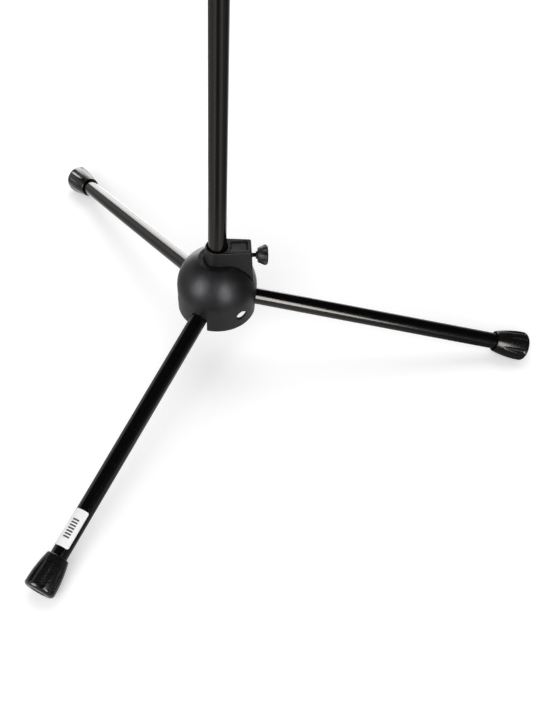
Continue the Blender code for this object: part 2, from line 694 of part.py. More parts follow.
def pole_parts():
    nose, shoulder, top = cone_heights()
    seat = top - CONE_SEAT
    pole_low = seat + GAP
    lower = tube("lower_tube", POLE_R, POLE_WALL, pole_low, POLE_TOP_Z)
    place(lower, DATUM, look=BLACK_STEEL)

    hole = CONE_SCREW_R + THREAD_GAP
    profile = [(POLE_R + GAP, top), (CONE_R - EDGE, top), (CONE_R, top - EDGE), (CONE_R, shoulder)]
    profile += [(CONE_NOSE_R, nose), (hole, nose), (hole, seat), (POLE_R + GAP, seat)]
    place(turned("locking_cone", profile, INNER_SIDES, closed=True), DATUM, look=INNER_PLASTIC)

    plug_r = POLE_R - POLE_WALL - GAP
    plug_top = pole_low + PLUG_LENGTH
    profile = [(hole, plug_top), (plug_r - EDGE, plug_top), (plug_r, plug_top - EDGE), (plug_r, pole_low)]
    profile.append((hole, pole_low))
    place(turned("pole_plug", profile, INNER_SIDES, closed=True), DATUM, look=INNER_PLASTIC)

    head = nose - GAP - CONE_HEAD_HEIGHT
    screw_top = plug_top - PLUG_LENGTH / 4
    profile = [(0, screw_top), (CONE_SCREW_R - EDGE, screw_top), (CONE_SCREW_R, screw_top - EDGE)]
    profile += [(CONE_SCREW_R, nose - GAP), (CONE_HEAD_R, nose - GAP), (CONE_HEAD_R, head + 2 * EDGE)]
    profile += [(CONE_HEAD_R - 2 * EDGE, head), (0, head)]
    screw = place(turned("cone_screw", profile, SMALL_SIDES), DATUM, look=ZINC_STEEL)
    cross = [box("cross_x", (-CROSS_R, -EDGE, head - EDGE), (CROSS_R, EDGE, head + 2 * EDGE)),
             box("cross_y", (-EDGE, -CROSS_R, head - EDGE), (EDGE, CROSS_R, head + 2 * EDGE))]
    for arm in cross:
        boolean(screw, place(arm, DATUM), "DIFFERENCE")


# Clutch, drawn from the lower tube's top

def clutch_parts():
    bore = POLE_R + GAP
    neck = UPPER_R + SLIDE_GAP
    profile = [(neck, CLUTCH_ABOVE), (CLUTCH_R - EDGE, CLUTCH_ABOVE), (CLUTCH_R, CLUTCH_ABOVE - EDGE)]
    profile += [(CLUTCH_R, EDGE - CLUTCH_BELOW), (CLUTCH_R - EDGE, -CLUTCH_BELOW), (bore, -CLUTCH_BELOW)]
    profile += [(bore, GAP), (neck, GAP)]
    place(turned("clutch_body", profile, TUBE_SIDES, closed=True), POLE_TOP, look=CLUTCH_PLASTIC)

    low = CLUTCH_ABOVE + GAP
    high = GRIP_ABOVE - GRIP_CAP - GAP
    wide = neck + COLLET_WALL
    profile = [(neck, high), (wide - 2 * EDGE, high), (wide, high - 4 * EDGE), (wide, low), (neck, low)]
    collet = turned("clutch_collet", profile, INNER_SIDES, closed=True)
    place(collet, POLE_TOP, look=INNER_PLASTIC)
    slit = box("slit", (UPPER_R / 2, -COLLET_SLIT / 2, low + (high - low) / 3),
               (wide + UPPER_R / 2, COLLET_SLIT / 2, high + COLLET_WALL))
    ring = around(COLLET_SLITS, None, pi / COLLET_SLITS)
    boolean(collet, place(copies("collet_slits", slit, ring), POLE_TOP), "DIFFERENCE")

    inner = CLUTCH_R + GAP
    cap = GRIP_ABOVE - GRIP_CAP
    mouth = UPPER_R + 2 * SLIDE_GAP
    profile = [(mouth, GRIP_ABOVE), (GRIP_R - 4 * EDGE, GRIP_ABOVE), (GRIP_R, GRIP_ABOVE - 4 * EDGE)]
    profile += [(GRIP_R, EDGE - GRIP_BELOW), (GRIP_R - EDGE, -GRIP_BELOW), (inner, -GRIP_BELOW)]
    profile += [(inner, cap), (mouth, cap)]
    grip = turned("clutch_grip", profile, TUBE_SIDES, closed=True)
    place(grip, POLE_TOP, look=CLUTCH_PLASTIC)
    groove = rod("groove", GROOVE_R, -GRIP_BELOW + 4 * EDGE, cap - 4 * EDGE, 8)
    ring = around(GRIP_GROOVES, Matrix.Translation((GRIP_R - GROOVE_DEPTH + GROOVE_R, 0, 0)))
    boolean(grip, place(copies("grip_grooves", groove, ring), POLE_TOP), "DIFFERENCE")


def upper_parts():
    top = UPPER_SHOWS
    low = top - UPPER_LENGTH
    place(tube("upper_tube", UPPER_R, UPPER_WALL, low, top), POLE_TOP, look=BLACK_STEEL)

    plug_r = UPPER_R - UPPER_WALL - GAP
    wide = POLE_R - POLE_WALL - GAP
    profile = [(0, low + BUSH_PLUG), (plug_r, low + BUSH_PLUG), (plug_r, low - GAP), (wide - EDGE, low - GAP)]
    profile += [(wide, low - GAP - EDGE), (wide, low - BUSH_COLLAR + EDGE), (wide - EDGE, low - BUSH_COLLAR)]
    profile.append((0, low - BUSH_COLLAR))
    place(turned("guide_bush", profile, INNER_SIDES), POLE_TOP, look=INNER_PLASTIC)

    seat = top + GAP
    flange = seat + END_FLANGE
    tip = flange + STUD_LENGTH
    profile = [(0, tip), (STUD_R - 2 * EDGE, tip), (STUD_R, tip - 2 * EDGE), (STUD_R, flange)]
    profile += [(UPPER_R - EDGE, flange), (UPPER_R, flange - EDGE), (UPPER_R, seat), (plug_r, seat)]
    profile += [(plug_r, seat - END_PLUG), (0, seat - END_PLUG)]
    place(turned("thread_end", profile, INNER_SIDES), POLE_TOP, look=ZINC_STEEL)

    low = flange + GAP
    high = low + DISC_HEIGHT
    hole = STUD_R + THREAD_GAP
    profile = [(hole, high), (DISC_R - 2 * EDGE, high), (DISC_R, high - 2 * EDGE), (DISC_R, low + 2 * EDGE)]
    profile += [(DISC_R - 2 * EDGE, low), (hole, low)]
    disc = place(turned("lock_disc", profile, TUBE_SIDES, closed=True), POLE_TOP, look=KNOB_PLASTIC)
    notch = rod("notch", NOTCH_R, low - DISC_HEIGHT, high + DISC_HEIGHT, 6)
    ring = around(DISC_NOTCHES, Matrix.Translation((DISC_R - NOTCH_DEPTH + NOTCH_R, 0, 0)))
    boolean(disc, place(copies("disc_notches", notch, ring), POLE_TOP), "DIFFERENCE")


hub_housing()
clamp_insert()
clamp_nut()
clamp_shoe()
thumb_screw()
for leg_name, leg_azimuth in LEG_AZIMUTHS.items():
    pivot_hardware(leg_name, leg_azimuth)
    leg_frame = leg(leg_name, leg_azimuth)
    if leg_name == "leg_a":
        sticker(leg_frame)
pole_parts()
clutch_parts()
upper_parts()
bpy.context.view_layer.update()
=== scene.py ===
"""Looks of the tripod microphone stand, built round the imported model.

Metres, +Z up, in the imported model's own frame: the origin is on the floor under the pole's axis.
Each piece is drawn in a frame of its own, on the same axes as the solid that it stands for.
"""

from math import acos, asin, atan2, cos, hypot, pi, radians, sin, sqrt, tan

import bmesh
import bpy
import numpy as np
from mathutils import Matrix, Vector

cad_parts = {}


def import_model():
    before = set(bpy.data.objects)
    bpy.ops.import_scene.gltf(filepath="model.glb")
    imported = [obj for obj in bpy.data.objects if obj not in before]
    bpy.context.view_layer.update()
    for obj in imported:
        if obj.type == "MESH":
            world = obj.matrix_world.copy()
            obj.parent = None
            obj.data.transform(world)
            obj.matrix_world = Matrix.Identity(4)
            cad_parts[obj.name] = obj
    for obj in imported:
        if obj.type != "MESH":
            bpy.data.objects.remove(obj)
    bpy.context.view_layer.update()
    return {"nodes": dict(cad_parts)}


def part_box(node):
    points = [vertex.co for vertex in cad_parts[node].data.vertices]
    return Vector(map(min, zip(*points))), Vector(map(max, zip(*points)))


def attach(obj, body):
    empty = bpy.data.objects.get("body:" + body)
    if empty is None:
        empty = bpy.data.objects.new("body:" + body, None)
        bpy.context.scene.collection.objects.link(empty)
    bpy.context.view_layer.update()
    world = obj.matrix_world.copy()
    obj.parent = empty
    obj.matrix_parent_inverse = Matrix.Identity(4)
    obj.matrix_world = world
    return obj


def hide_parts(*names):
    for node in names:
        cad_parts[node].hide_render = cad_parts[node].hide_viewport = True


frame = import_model()

# Legs, on the same values as the solids
LEG_SLOPE = radians(15.78)
LEG_TURNS = {letter: Matrix.Rotation(radians(azimuth), 4, "Z")
             for letter, azimuth in (("a", -120), ("b", 0), ("c", 120))}
LEG_R = 0.00925
LEG_WALL = 0.0012
LEG_SIDE_GAP = 0.00105
LEG_TOP_GAP = 0.00035
GAP = 0.0003
PIVOT_R = 0.0262
PIVOT_HOLE_R = 0.0028
EYE_R = 0.0096
HEEL_SHOULDER = 0.0117
HEEL_PLUG = 0.028

# The hub's datum is where the legs' axes meet the pole's, this far below the collar's top
COLLAR_TOP_Z = 0.0630
HUB_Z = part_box("hub_housing")[1].z - COLLAR_TOP_Z
PIVOT_Z = -PIVOT_R * tan(LEG_SLOPE)
PIVOT_ALONG = PIVOT_R / cos(LEG_SLOPE)

# Hub
DOME_R = 0.0439
DOME_Z = 0.00644
DOME_FLAT_Z = 0.0450
RIM_R = 0.0430
RIM_Z = -0.0248
RIM_ROUND = 0.0009
HUB_WALL = 0.0030
SLOT_HALF_W = LEG_R + LEG_SIDE_GAP
RIB_WALL = 0.0027
RIB_OUTSIDE = SLOT_HALF_W + GAP + RIB_WALL
RIB_INNER = 0.0190
RIB_LIFT = 0.0008
SLEEVE_R = 0.01345
SLEEVE_Z = 0.0270
BORE_R = 0.01035
COLLAR_R = 0.0129
COLLAR_DRAFT = 0.0013
COLLAR_CORNER = 0.0022
COLLAR_ROUND = 0.0007
MOUTH_R = 0.0113
MOUTH_DEPTH = 0.0060
BLOCK_END_X = 0.0363
BLOCK_HALF_W = 0.0109
POCKET_X = (0.0142, 0.0322)
POCKET_HALF_W = 0.0071
POCKET_CORNER = 0.0008
POCKET_FLOOR_Z = 0.0446
INSERT_ROUND = 0.0006
SCREW_Z = 0.0498
SCREW_HOLE_R = 0.0028
WINDOW_HALF_W = 0.0048
WINDOW_HALF_H = 0.0043
ACCESS_R = 0.0054
ACCESS_CLEAR = 0.005        # between the rib and the access hole's cutter

# Pivot screws and nuts
PIVOT_TAIL = 0.0046         # past the nut's seat
PIVOT_HEAD = 0.0028
PIVOT_HEAD_R = 0.0042
PIVOT_KEY = 0.0035          # socket and nut are measured across their flats
PIVOT_KEY_DEPTH = 0.0014
NUT_FLATS = 0.008
NUT_HEIGHT = 0.004
NUT_CONE_R = 0.0048
NUT_CHAMFER = 0.0005
PAST = 0.001                # how far a cutter starts outside what it cuts
EDGE = 0.0001               # small pieces' edges are rounded in steps of this

# Thumb screw, which points along +X
STUD_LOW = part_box("thumb_stud")[0].x
STUD_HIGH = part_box("thumb_stud")[1].x
STUD_R = 0.0025
STUD_PITCH = 0.0008
STUD_EDGE = 0.0006
KNOB_LOBES = 6
KNOB_R = 0.0111
KNOB_ROUND = 0.0032
KNOB_FLARE = radians(35)
KNOB_NECK_R = 0.0081
KNOB_NECK = 0.0018
KNOB_HEM_R = 0.0006
KNOB_HEM_Z = 0.0005
KNOB_HUB_R = 0.0043
KNOB_EDGE = 0.0003
LOBE_CUT_R = 0.0046
LOBE_DEPTH = 0.00175
LOBE_START = 0.0004
LOBE_FADE = 0.0012
LOBE_BLEND = 0.0007

# Feet, measured along the leg from the pole's axis
FOOT_MOUTH = 0.3395
FOOT_LENGTH = 0.03887       # just short of the solid's, whose flat sides reach less far out
FOOT_MOUTH_R = 0.0119
FOOT_LIP = 0.0004
FOOT_R = 0.01675
FOOT_ROUND = 0.0043
FOOT_SWELL = 1.8
FOOT_WIDE = FOOT_LENGTH - 1.5 * FOOT_ROUND
FOOT_END_WALL = 0.0055
FOOT_CUP_DEPTH = 0.0055
FOOT_CUP_WALL = 0.0013
FLUTES = 8
FLUTE_R = 0.0045
FLUTE_DEPTH = 0.0013
FLUTE_START = 0.0080
FLUTE_END = 0.0058
FLUTE_BLEND = 0.0004
DISH_R = 0.0088
DISH_DEPTH = 0.0007
FOOT_ROWS = 44
FOOT_SIDES = 192

# Sticker
STICKER_FROM = 0.288
STICKER_LENGTH = 0.042
STICKER_HALF_ANGLE = radians(53)
STICKER_CORNER = 0.0022
STICKER_LIFT = 0.00003
STICKER_THICK = 0.00012
LABEL_GRID = (96, 48)       # along and across

# The sticker's bars, as shares of its length and width
BARS = 7
BARS_START = 0.26
BARS_LENGTH = 0.54
BARS_MIDDLE = 0.52
BARS_HALF_W = 0.21
BAR_SHARE = 0.55

# Pole
POLE_R = 0.010
POLE_WALL = 0.0013
UPPER_R = 0.008
UPPER_WALL = 0.0010
CONE_NOSE_R = 0.0108
CONE_RIM = 0.0025
CONE_HOLE_R = 0.0033
CONE_SEAT = 0.0065
CONE_SCREW_HEAD = 0.0030
CROSS_REACH = 0.0034
CROSS_HALF_W = 0.0006

# Clutch
CLUTCH_NECK_GAP = 0.00035
GRIP_R = 0.0170
GRIP_INNER_R = 0.0138
GRIP_MOUTH_R = 0.0087
GRIP_CAP = 0.0050
GRIP_ROUND = 0.0024
GRIP_EDGE = 0.0006
GRIP_GROOVES = 16
GRIP_GROOVE_R = 0.0016
GRIP_GROOVE_DEPTH = 0.0010
GRIP_GROOVE_LOW = 0.0016    # where the grooves end, from the grip's lower and upper end
GRIP_GROOVE_HIGH = 0.0065
GRIP_GROOVE_FADE = 0.0014
GROOVE_BLEND = 0.0003

# Threaded end and its disc
END_THREAD_R = 0.00475
END_THREAD_PITCH = 0.0254 / 16
END_SEAT = 0.0200           # from the thread's tip down to the upper tube
END_FLANGE = 0.0030
END_EDGE = 0.0012
THREAD_SLOPE = 0.6          # depth of a thread as a share of its pitch
DISC_R = 0.0140
DISC_EDGE = 0.0010
DISC_NOTCHES = 16
DISC_NOTCH_R = 0.0012
DISC_NOTCH_DEPTH = 0.0008

# Finishes
MOULD_SHINE = 0.36
CREASE = (0.484, 0.4975)    # pointiness at which a crease has no shine, and at which it has all; the lost shine is painted shade

# Stage. The floor's glow grows between two distances from the stand. In reflections it is even
# up close and goes by direction, in degrees, farther out.
FLOOR_GLOW = (0.30, 0.64)
FLOOR_GLOW_FROM = (0.7, 3.0)
FLOOR_NEAR = 0.68
FLOOR_TURNS = (0.10, 0.30)
FLOOR_PEAK = 3.0
FLOOR_MIRRORED = [(-180, 0.42), (-150, 0.50), (-126, 0.95), (-110, 0.25), (-98, 0.05), (-84, 0.20),
                  (-60, 0.90), (-38, 0.30), (-5, 0.12), (22, 0.25), (42, 1.40), (80, 3.0),
                  (115, 3.0), (128, 0.40), (180, 0.42)]
WORLD_FILL = 0.42

# Fineness. A run longer than LONG_RUN gets points RUN_END from both ends.
SIDES = 160
SMALL_SIDES = 64
RIDGED_SIDES = 256
STUD_SIDES = 40
STUD_ROWS = 10              # in each turn of the thread
END_SIDES = 72
END_ROWS = 12
GRIP_ROWS = 60
DISC_ROWS = 12
CORNER_SHARE = 0.48         # the most of a side that a rounded corner takes
SHARP = radians(38)
LONG_RUN = 0.0025
RUN_END = 0.0004
SMALLEST_R = 1e-7
VOXEL = 0.00045
RELAX_TIMES = 3
OUTER_FACING = 0.985        # cosine of the most that an outer face leans from the true surface

ALONG_X = Matrix.Rotation(pi / 2, 4, "Y")
ALONG_Y = Matrix.Rotation(-pi / 2, 4, "X")
DATUM = Matrix.Translation((0, 0, HUB_Z))
THUMB_AXIS = Matrix.Translation((0, 0, HUB_Z + SCREW_Z)) @ ALONG_X


# Frames

def leg_matrix(letter, out):
    """Frame on a leg's axis: +X runs out along the leg and +Y along the pivot."""
    tilted = LEG_TURNS[letter] @ Matrix.Rotation(LEG_SLOPE, 4, "Y")
    return DATUM @ tilted @ Matrix.Translation((out, 0, 0))


def pivot_matrix(letter):
    """Frame on a leg's pivot, with +Z along the pivot."""
    return DATUM @ LEG_TURNS[letter] @ Matrix.Translation((PIVOT_R, 0, PIVOT_Z)) @ ALONG_Y


# Shapes

def arc(centre, radius, start, end, steps):
    """Points on an arc, from start to end in radians, both ends included."""
    angles = [start + (end - start) * i / steps for i in range(steps + 1)]
    return [(centre[0] + radius * cos(a), centre[1] + radius * sin(a)) for a in angles]


def rounded(points, closed=False, steps=5):
    """Points of (x, y) or (x, y, radius), with an arc at each corner that has a radius."""
    last = len(points) - 1
    made = []
    for i, point in enumerate(points):
        corner = Vector(point[:2])
        radius = point[2] if len(point) > 2 else 0.0
        if radius == 0 or (not closed and i in (0, last)):
            made.append(tuple(corner))
            continue
        back = Vector(points[i - 1][:2]) - corner
        ahead = Vector(points[(i + 1) % len(points)][:2]) - corner
        half = back.angle(ahead) / 2
        reach = min(radius / tan(half), CORNER_SHARE * back.length, CORNER_SHARE * ahead.length)
        round_r = reach * tan(half)
        inward = (back.normalized() + ahead.normalized()).normalized()
        centre = corner + inward * hypot(reach, round_r)
        first = corner + back.normalized() * reach - centre
        final = corner + ahead.normalized() * reach - centre
        span = first.angle(final)
        for step in range(steps + 1):
            share = step / steps
            mix = first * sin((1 - share) * span) + final * sin(share * span)
            made.append(tuple(centre + mix / sin(span)))
    return made


def smooth(mesh, sharp=SHARP):
    """Shades a mesh smooth except at its sharp edges."""
    mesh.shade_smooth()
    mesh.set_sharp_from_angle(angle=sharp)


def new_object(name, shape, sharp=SHARP):
    mesh = bpy.data.meshes.new(name)
    shape.to_mesh(mesh)
    shape.free()
    smooth(mesh, sharp)
    obj = bpy.data.objects.new(name, mesh)
    bpy.context.scene.collection.objects.link(obj)
    return obj


def supported(profile, closed):
    """The profile with a point near both ends of each long run, which keeps smooth shading true."""
    made = []
    ends = list(zip(profile, profile[1:]))
    if closed:
        ends.append((profile[-1], profile[0]))
    for start, end in ends:
        made.append(start)
        run = (end[0] - start[0], end[1] - start[1])
        length = hypot(*run)
        if length < LONG_RUN:
            continue
        for share in (RUN_END / length, 1 - RUN_END / length):
            made.append((start[0] + run[0] * share, start[1] + run[1] * share))
    if not closed:
        made.append(profile[-1])
    return made


def lathe(name, profile, sides=SIDES, closed=False, reshape=None):
    """A profile of (radius, height) turned about Z. It runs down its outer side.

    reshape takes a radius, a height and an angle and gives the radius there.
    """
    shape = bmesh.new()
    rows = []
    for radius, height in supported(profile, closed):
        if radius < SMALLEST_R:
            rows.append([shape.verts.new((0, 0, height))])
            continue
        row = []
        for i in range(sides):
            turn = 2 * pi * i / sides
            r = radius if reshape is None else reshape(radius, height, turn)
            row.append(shape.verts.new((r * cos(turn), r * sin(turn), height)))
        rows.append(row)
    pairs = list(zip(rows, rows[1:]))
    if closed:
        pairs.append((rows[-1], rows[0]))
    for upper, lower in pairs:
        for i in range(sides):
            corners = [upper[i % len(upper)], lower[i % len(lower)]]
            corners += [lower[(i + 1) % sides % len(lower)], upper[(i + 1) % sides % len(upper)]]
            corners = list(dict.fromkeys(corners))
            if len(corners) > 2:
                shape.faces.new(corners)
    return new_object(name, shape)


def prism(name, outline, low, high):
    """A flat outline in X and Y, drawn anticlockwise, from one height to another."""
    shape = bmesh.new()
    bottom = [shape.verts.new((x, y, low)) for x, y in outline]
    top = [shape.verts.new((x, y, high)) for x, y in outline]
    shape.faces.new(list(reversed(bottom)))
    shape.faces.new(top)
    for i in range(len(outline)):
        shape.faces.new((bottom[i - 1], bottom[i], top[i], top[i - 1]))
    return new_object(name, shape)


def block(name, low, high, edge=0.0):
    """A box between two corners, its edges rounded where edge is set."""
    shape = bmesh.new()
    bmesh.ops.create_cube(shape, size=1.0)
    bmesh.ops.scale(shape, vec=Vector(high) - Vector(low), verts=shape.verts)
    bmesh.ops.translate(shape, vec=(Vector(low) + Vector(high)) / 2, verts=shape.verts)
    if not edge:
        return new_object(name, shape)
    edges = list(shape.edges)
    bmesh.ops.bevel(shape, geom=edges, offset=edge, segments=4, profile=0.5, affect="EDGES")
    made = new_object(name, shape)
    made.modifiers.new("flat faces", "WEIGHTED_NORMAL")
    return settle(made)


def moved(obj, matrix):
    """The object with a matrix put into its mesh."""
    obj.data.transform(matrix)
    return obj


def copied(obj, matrices):
    """The object's mesh as copies that don't meet, in one mesh."""
    shape = bmesh.new()
    for matrix in matrices:
        single = obj.data.copy()
        single.transform(matrix)
        shape.from_mesh(single)
        bpy.data.meshes.remove(single)
    shape.to_mesh(obj.data)
    shape.free()
    return obj


def settle(obj):
    """The object's modifiers put into its mesh."""
    bpy.context.view_layer.update()
    graph = bpy.context.evaluated_depsgraph_get()
    mesh = bpy.data.meshes.new_from_object(obj.evaluated_get(graph))
    obj.modifiers.clear()
    obj.data = mesh
    return obj


def combine(obj, other, kind):
    """A boolean put into the mesh at once. The other object is removed."""
    step = obj.modifiers.new(kind.lower(), "BOOLEAN")
    step.operation = kind
    step.object = other
    step.solver = "EXACT"
    settle(obj)
    bpy.data.objects.remove(other)


def cut(obj, *tools):
    for tool in tools:
        combine(obj, tool, "DIFFERENCE")
    return obj


def smooth_min(a, b, blend):
    """The lower of two values, with a soft change between them."""
    share = min(max(0.5 + 0.5 * (b - a) / blend, 0.0), 1.0)
    return b + (a - b) * share - blend * share * (1 - share)


# Materials

class Nodes:
    """A node tree, with short ways to add what several materials share."""

    def __init__(self, owner):
        owner.use_nodes = True
        self.nodes = owner.node_tree.nodes
        self.links = owner.node_tree.links

    def add(self, kind, **settings):
        node = self.nodes.new("ShaderNode" + kind)
        for name, value in settings.items():
            setattr(node, name, value)
        return node

    def feed(self, socket, value):
        """A number or a node's output put into a socket."""
        if isinstance(value, (int, float)):
            socket.default_value = value
        else:
            self.links.new(value, socket)

    def math(self, kind, *values):
        node = self.add("Math", operation=kind)
        for socket, value in zip(node.inputs, values):
            self.feed(socket, value)
        return node.outputs["Value"]

    def blend(self, share, first, second):
        """A value between two others, by a share from 0 to 1."""
        node = self.add("Mix", data_type="FLOAT")
        for name, value in (("Factor", share), ("A", first), ("B", second)):
            self.feed(node.inputs[name], value)
        return node.outputs["Result"]

    def spread(self, value, low, high, start=0.3, end=0.7):
        """A value stretched from the range of start to end to that of low to high."""
        node = self.add("MapRange")
        for name, edge in (("From Min", start), ("From Max", end), ("To Min", low), ("To Max", high)):
            node.inputs[name].default_value = edge
        self.feed(node.inputs["Value"], value)
        return node.outputs["Result"]

    def ramp(self, value, *stops):
        """A colour ramp of (place, colour) stops."""
        node = self.add("ValToRGB")
        points = node.color_ramp.elements
        while len(points) < len(stops):
            points.new(0.5)
        for point, (where, colour) in zip(points, stops):
            point.position = where
            point.color = (*colour, 1.0)
        self.feed(node.inputs["Fac"], value)
        return node.outputs["Color"]


class Look(Nodes):
    """A material on a Principled shader, with noise and bumps on the piece's own coordinates."""

    def __init__(self, name, roughness, metallic=0.0, specular=0.5, tint=(1, 1, 1)):
        self.made = bpy.data.materials.new(name)
        super().__init__(self.made)
        self.shader = self.nodes["Principled BSDF"]
        self.shader.inputs["Roughness"].default_value = roughness
        self.shader.inputs["Metallic"].default_value = metallic
        self.shader.inputs["Specular IOR Level"].default_value = specular
        self.shader.inputs["Specular Tint"].default_value = (*tint, 1.0)
        self.place = self.add("TexCoord").outputs["Object"]
        self.bumps = None

    def noise(self, scale, detail, stretch=(1, 1, 1)):
        """Noise with this many features a metre."""
        mapping = self.add("Mapping")
        mapping.inputs["Scale"].default_value = stretch
        self.feed(mapping.inputs["Vector"], self.place)
        node = self.add("TexNoise")
        node.inputs["Scale"].default_value = scale
        node.inputs["Detail"].default_value = detail
        self.feed(node.inputs["Vector"], mapping.outputs["Vector"])
        return node.outputs["Fac"]

    def bump(self, height, distance, strength=1.0):
        """A bump on top of those added before it. The distance is in metres."""
        node = self.add("Bump")
        node.inputs["Strength"].default_value = strength
        node.inputs["Distance"].default_value = distance
        self.feed(node.inputs["Height"], height)
        if self.bumps is not None:
            self.feed(node.inputs["Normal"], self.bumps)
        self.bumps = node.outputs["Normal"]
        self.link(self.bumps, "Normal")

    def link(self, value, socket):
        self.links.new(value, self.shader.inputs[socket])


def grained_plastic(name, dark, light, roughness, grain=0.00005, painted_crease_shade=False):
    """Moulded plastic with fine spark-eroded grain, faint mottling and duller patches.

    It can also take the shine out of its hollows, which paints shade into each crease.
    """
    look = Look(name, roughness, specular=MOULD_SHINE, tint=(0.98, 0.95, 1.0))
    look.link(look.ramp(look.noise(150, 4), (0.3, dark), (0.7, light)), "Base Color")
    gloss = look.spread(look.noise(420, 3), roughness - 0.05, roughness + 0.06)
    look.link(gloss, "Roughness")
    if painted_crease_shade:
        # Painted shade: the shine fades to nothing in each crease
        hollow = look.add("NewGeometry").outputs["Pointiness"]
        look.link(look.spread(hollow, 0.0, MOULD_SHINE, *CREASE), "Specular IOR Level")
    look.bump(look.noise(2600, 2), grain)
    look.bump(look.noise(180, 2), 0.00010, 0.35)
    return look.made


def coated_tube(name, dark, light, roughness, along=(1, 1, 1)):
    """Glossy coating on drawn steel tube: die lines and faint orange peel.

    along scales the noise down on the tube's own direction, so that its lines run that way.
    """
    look = Look(name, roughness, tint=(1.0, 0.95, 0.89))
    lines = look.noise(900, 3, along)
    look.link(look.ramp(lines, (0.35, dark), (0.65, light)), "Base Color")
    gloss = look.spread(look.noise(500, 2, along), roughness - 0.03, roughness + 0.05)
    look.link(gloss, "Roughness")
    look.bump(look.noise(700, 2), 0.00002, 0.35)
    look.bump(lines, 0.000008, 0.5)
    return look.made


def moulded_rubber(name, dark, light):
    """Shiny black moulded rubber with scuffs and a slightly wavy skin."""
    look = Look(name, 0.26, specular=0.42, tint=(1.0, 0.95, 0.92))
    look.link(look.ramp(look.noise(240, 4), (0.3, dark), (0.75, light)), "Base Color")
    look.link(look.spread(look.noise(600, 4), 0.20, 0.32, 0.35, 0.75), "Roughness")
    look.bump(look.noise(320, 2), 0.00005, 0.25)
    look.bump(look.noise(1500, 2), 0.000005, 0.3)
    return look.made


def plated_steel(name, dark, light):
    """Plated steel with a fine grain and duller patches."""
    look = Look(name, 0.3, metallic=1.0)
    fine = look.noise(2400, 3)
    look.link(look.ramp(fine, (0.3, dark), (0.7, light)), "Base Color")
    look.link(look.spread(look.noise(900, 3), 0.22, 0.42), "Roughness")
    look.bump(fine, 0.00001, 0.6)
    return look.made


def label_film(name):
    """White film with a soft sheen, faint fibres, and a generic patch of evenly spaced grey bars."""
    look = Look(name, 0.42)
    apart = look.add("SeparateXYZ")
    look.feed(apart.inputs["Vector"], look.add("UVMap", uv_map="label").outputs["UV"])
    along, across = apart.outputs["X"], apart.outputs["Y"]
    past = look.math("SUBTRACT", along, BARS_START)
    period = look.math("FRACT", look.math("MULTIPLY", past, BARS / BARS_LENGTH))
    stripe = look.math("LESS_THAN", period, BAR_SHARE)
    off = look.math("ABSOLUTE", look.math("SUBTRACT", along, BARS_START + BARS_LENGTH / 2))
    inside = look.math("LESS_THAN", off, BARS_LENGTH / 2)
    aside = look.math("ABSOLUTE", look.math("SUBTRACT", across, BARS_MIDDLE))
    beside = look.math("LESS_THAN", aside, BARS_HALF_W)
    bars_here = look.math("MULTIPLY", stripe, look.math("MULTIPLY", inside, beside))
    paper = look.ramp(look.noise(700, 4), (0.3, (0.83, 0.83, 0.83)), (0.7, (0.88, 0.88, 0.87)))
    ink = look.ramp(look.noise(900, 3), (0.3, (0.035, 0.035, 0.036)), (0.7, (0.07, 0.07, 0.072)))
    mix = look.add("Mix", data_type="RGBA")
    look.feed(mix.inputs["Factor"], bars_here)
    # By number, as the colour sockets share their names with the others
    look.feed(mix.inputs[6], paper)
    look.feed(mix.inputs[7], ink)
    look.link(mix.outputs[2], "Base Color")
    look.bump(look.noise(1500, 3), 0.00001, 0.4)
    return look.made


# The hub's plastic has painted shade in each crease.
HUB_PLASTIC = grained_plastic("hub_plastic_grained", (0.0040, 0.0038, 0.0042),
                              (0.0070, 0.0066, 0.0073), 0.41, painted_crease_shade=True)
KNOB_PLASTIC = grained_plastic("knob_plastic_satin", (0.006, 0.006, 0.0065),
                               (0.010, 0.010, 0.011), 0.50, 0.00003)
CLUTCH_PLASTIC = grained_plastic("clutch_plastic_satin", (0.009, 0.009, 0.010),
                                 (0.015, 0.015, 0.016), 0.44)
INNER_PLASTIC = grained_plastic("inner_nylon", (0.042, 0.042, 0.044),
                                (0.058, 0.058, 0.060), 0.52, 0.00002)
LEG_STEEL = coated_tube("leg_coating", (0.0012, 0.0012, 0.0014), (0.0032, 0.0032, 0.0036), 0.15)
POLE_STEEL = coated_tube("pole_coating", (0.0022, 0.0018, 0.0016),
                         (0.0050, 0.0043, 0.0037), 0.12, (1, 1, 0.012))
FOOT_RUBBER = moulded_rubber("foot_rubber_shiny", (0.003, 0.003, 0.0035), (0.008, 0.008, 0.0085))
ZINC_STEEL = plated_steel("zinc_brushed", (0.42, 0.43, 0.45), (0.66, 0.67, 0.70))
BLACK_SCREW = plated_steel("screw_black_oxide", (0.030, 0.030, 0.032), (0.070, 0.070, 0.073))
LABEL_FILM = label_film("label_film")


# Finishing a piece

def finish_piece(obj, look, slot, body, *nodes):
    """Material, body and the solids that the piece stands for. The slot is not used."""
    obj.data.materials.clear()
    obj.data.materials.append(look)
    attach(obj, body)
    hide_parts(*nodes)


def dress(node, look):
    """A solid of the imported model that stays, with a material of its own."""
    obj = frame["nodes"][node]
    obj.data.materials.clear()
    obj.data.materials.append(look)


# Hub

def rim_radius(z):
    share = (DOME_Z - z) / (DOME_Z - RIM_Z)
    return DOME_R - share * (DOME_R - RIM_R)


def dome_outline(inset, steps):
    """The dome this far inside its outer face, from the top down."""
    radius = DOME_R - inset
    start = asin((DOME_FLAT_Z - inset - DOME_Z) / radius)
    return arc((0, DOME_Z), radius, start, 0, steps)


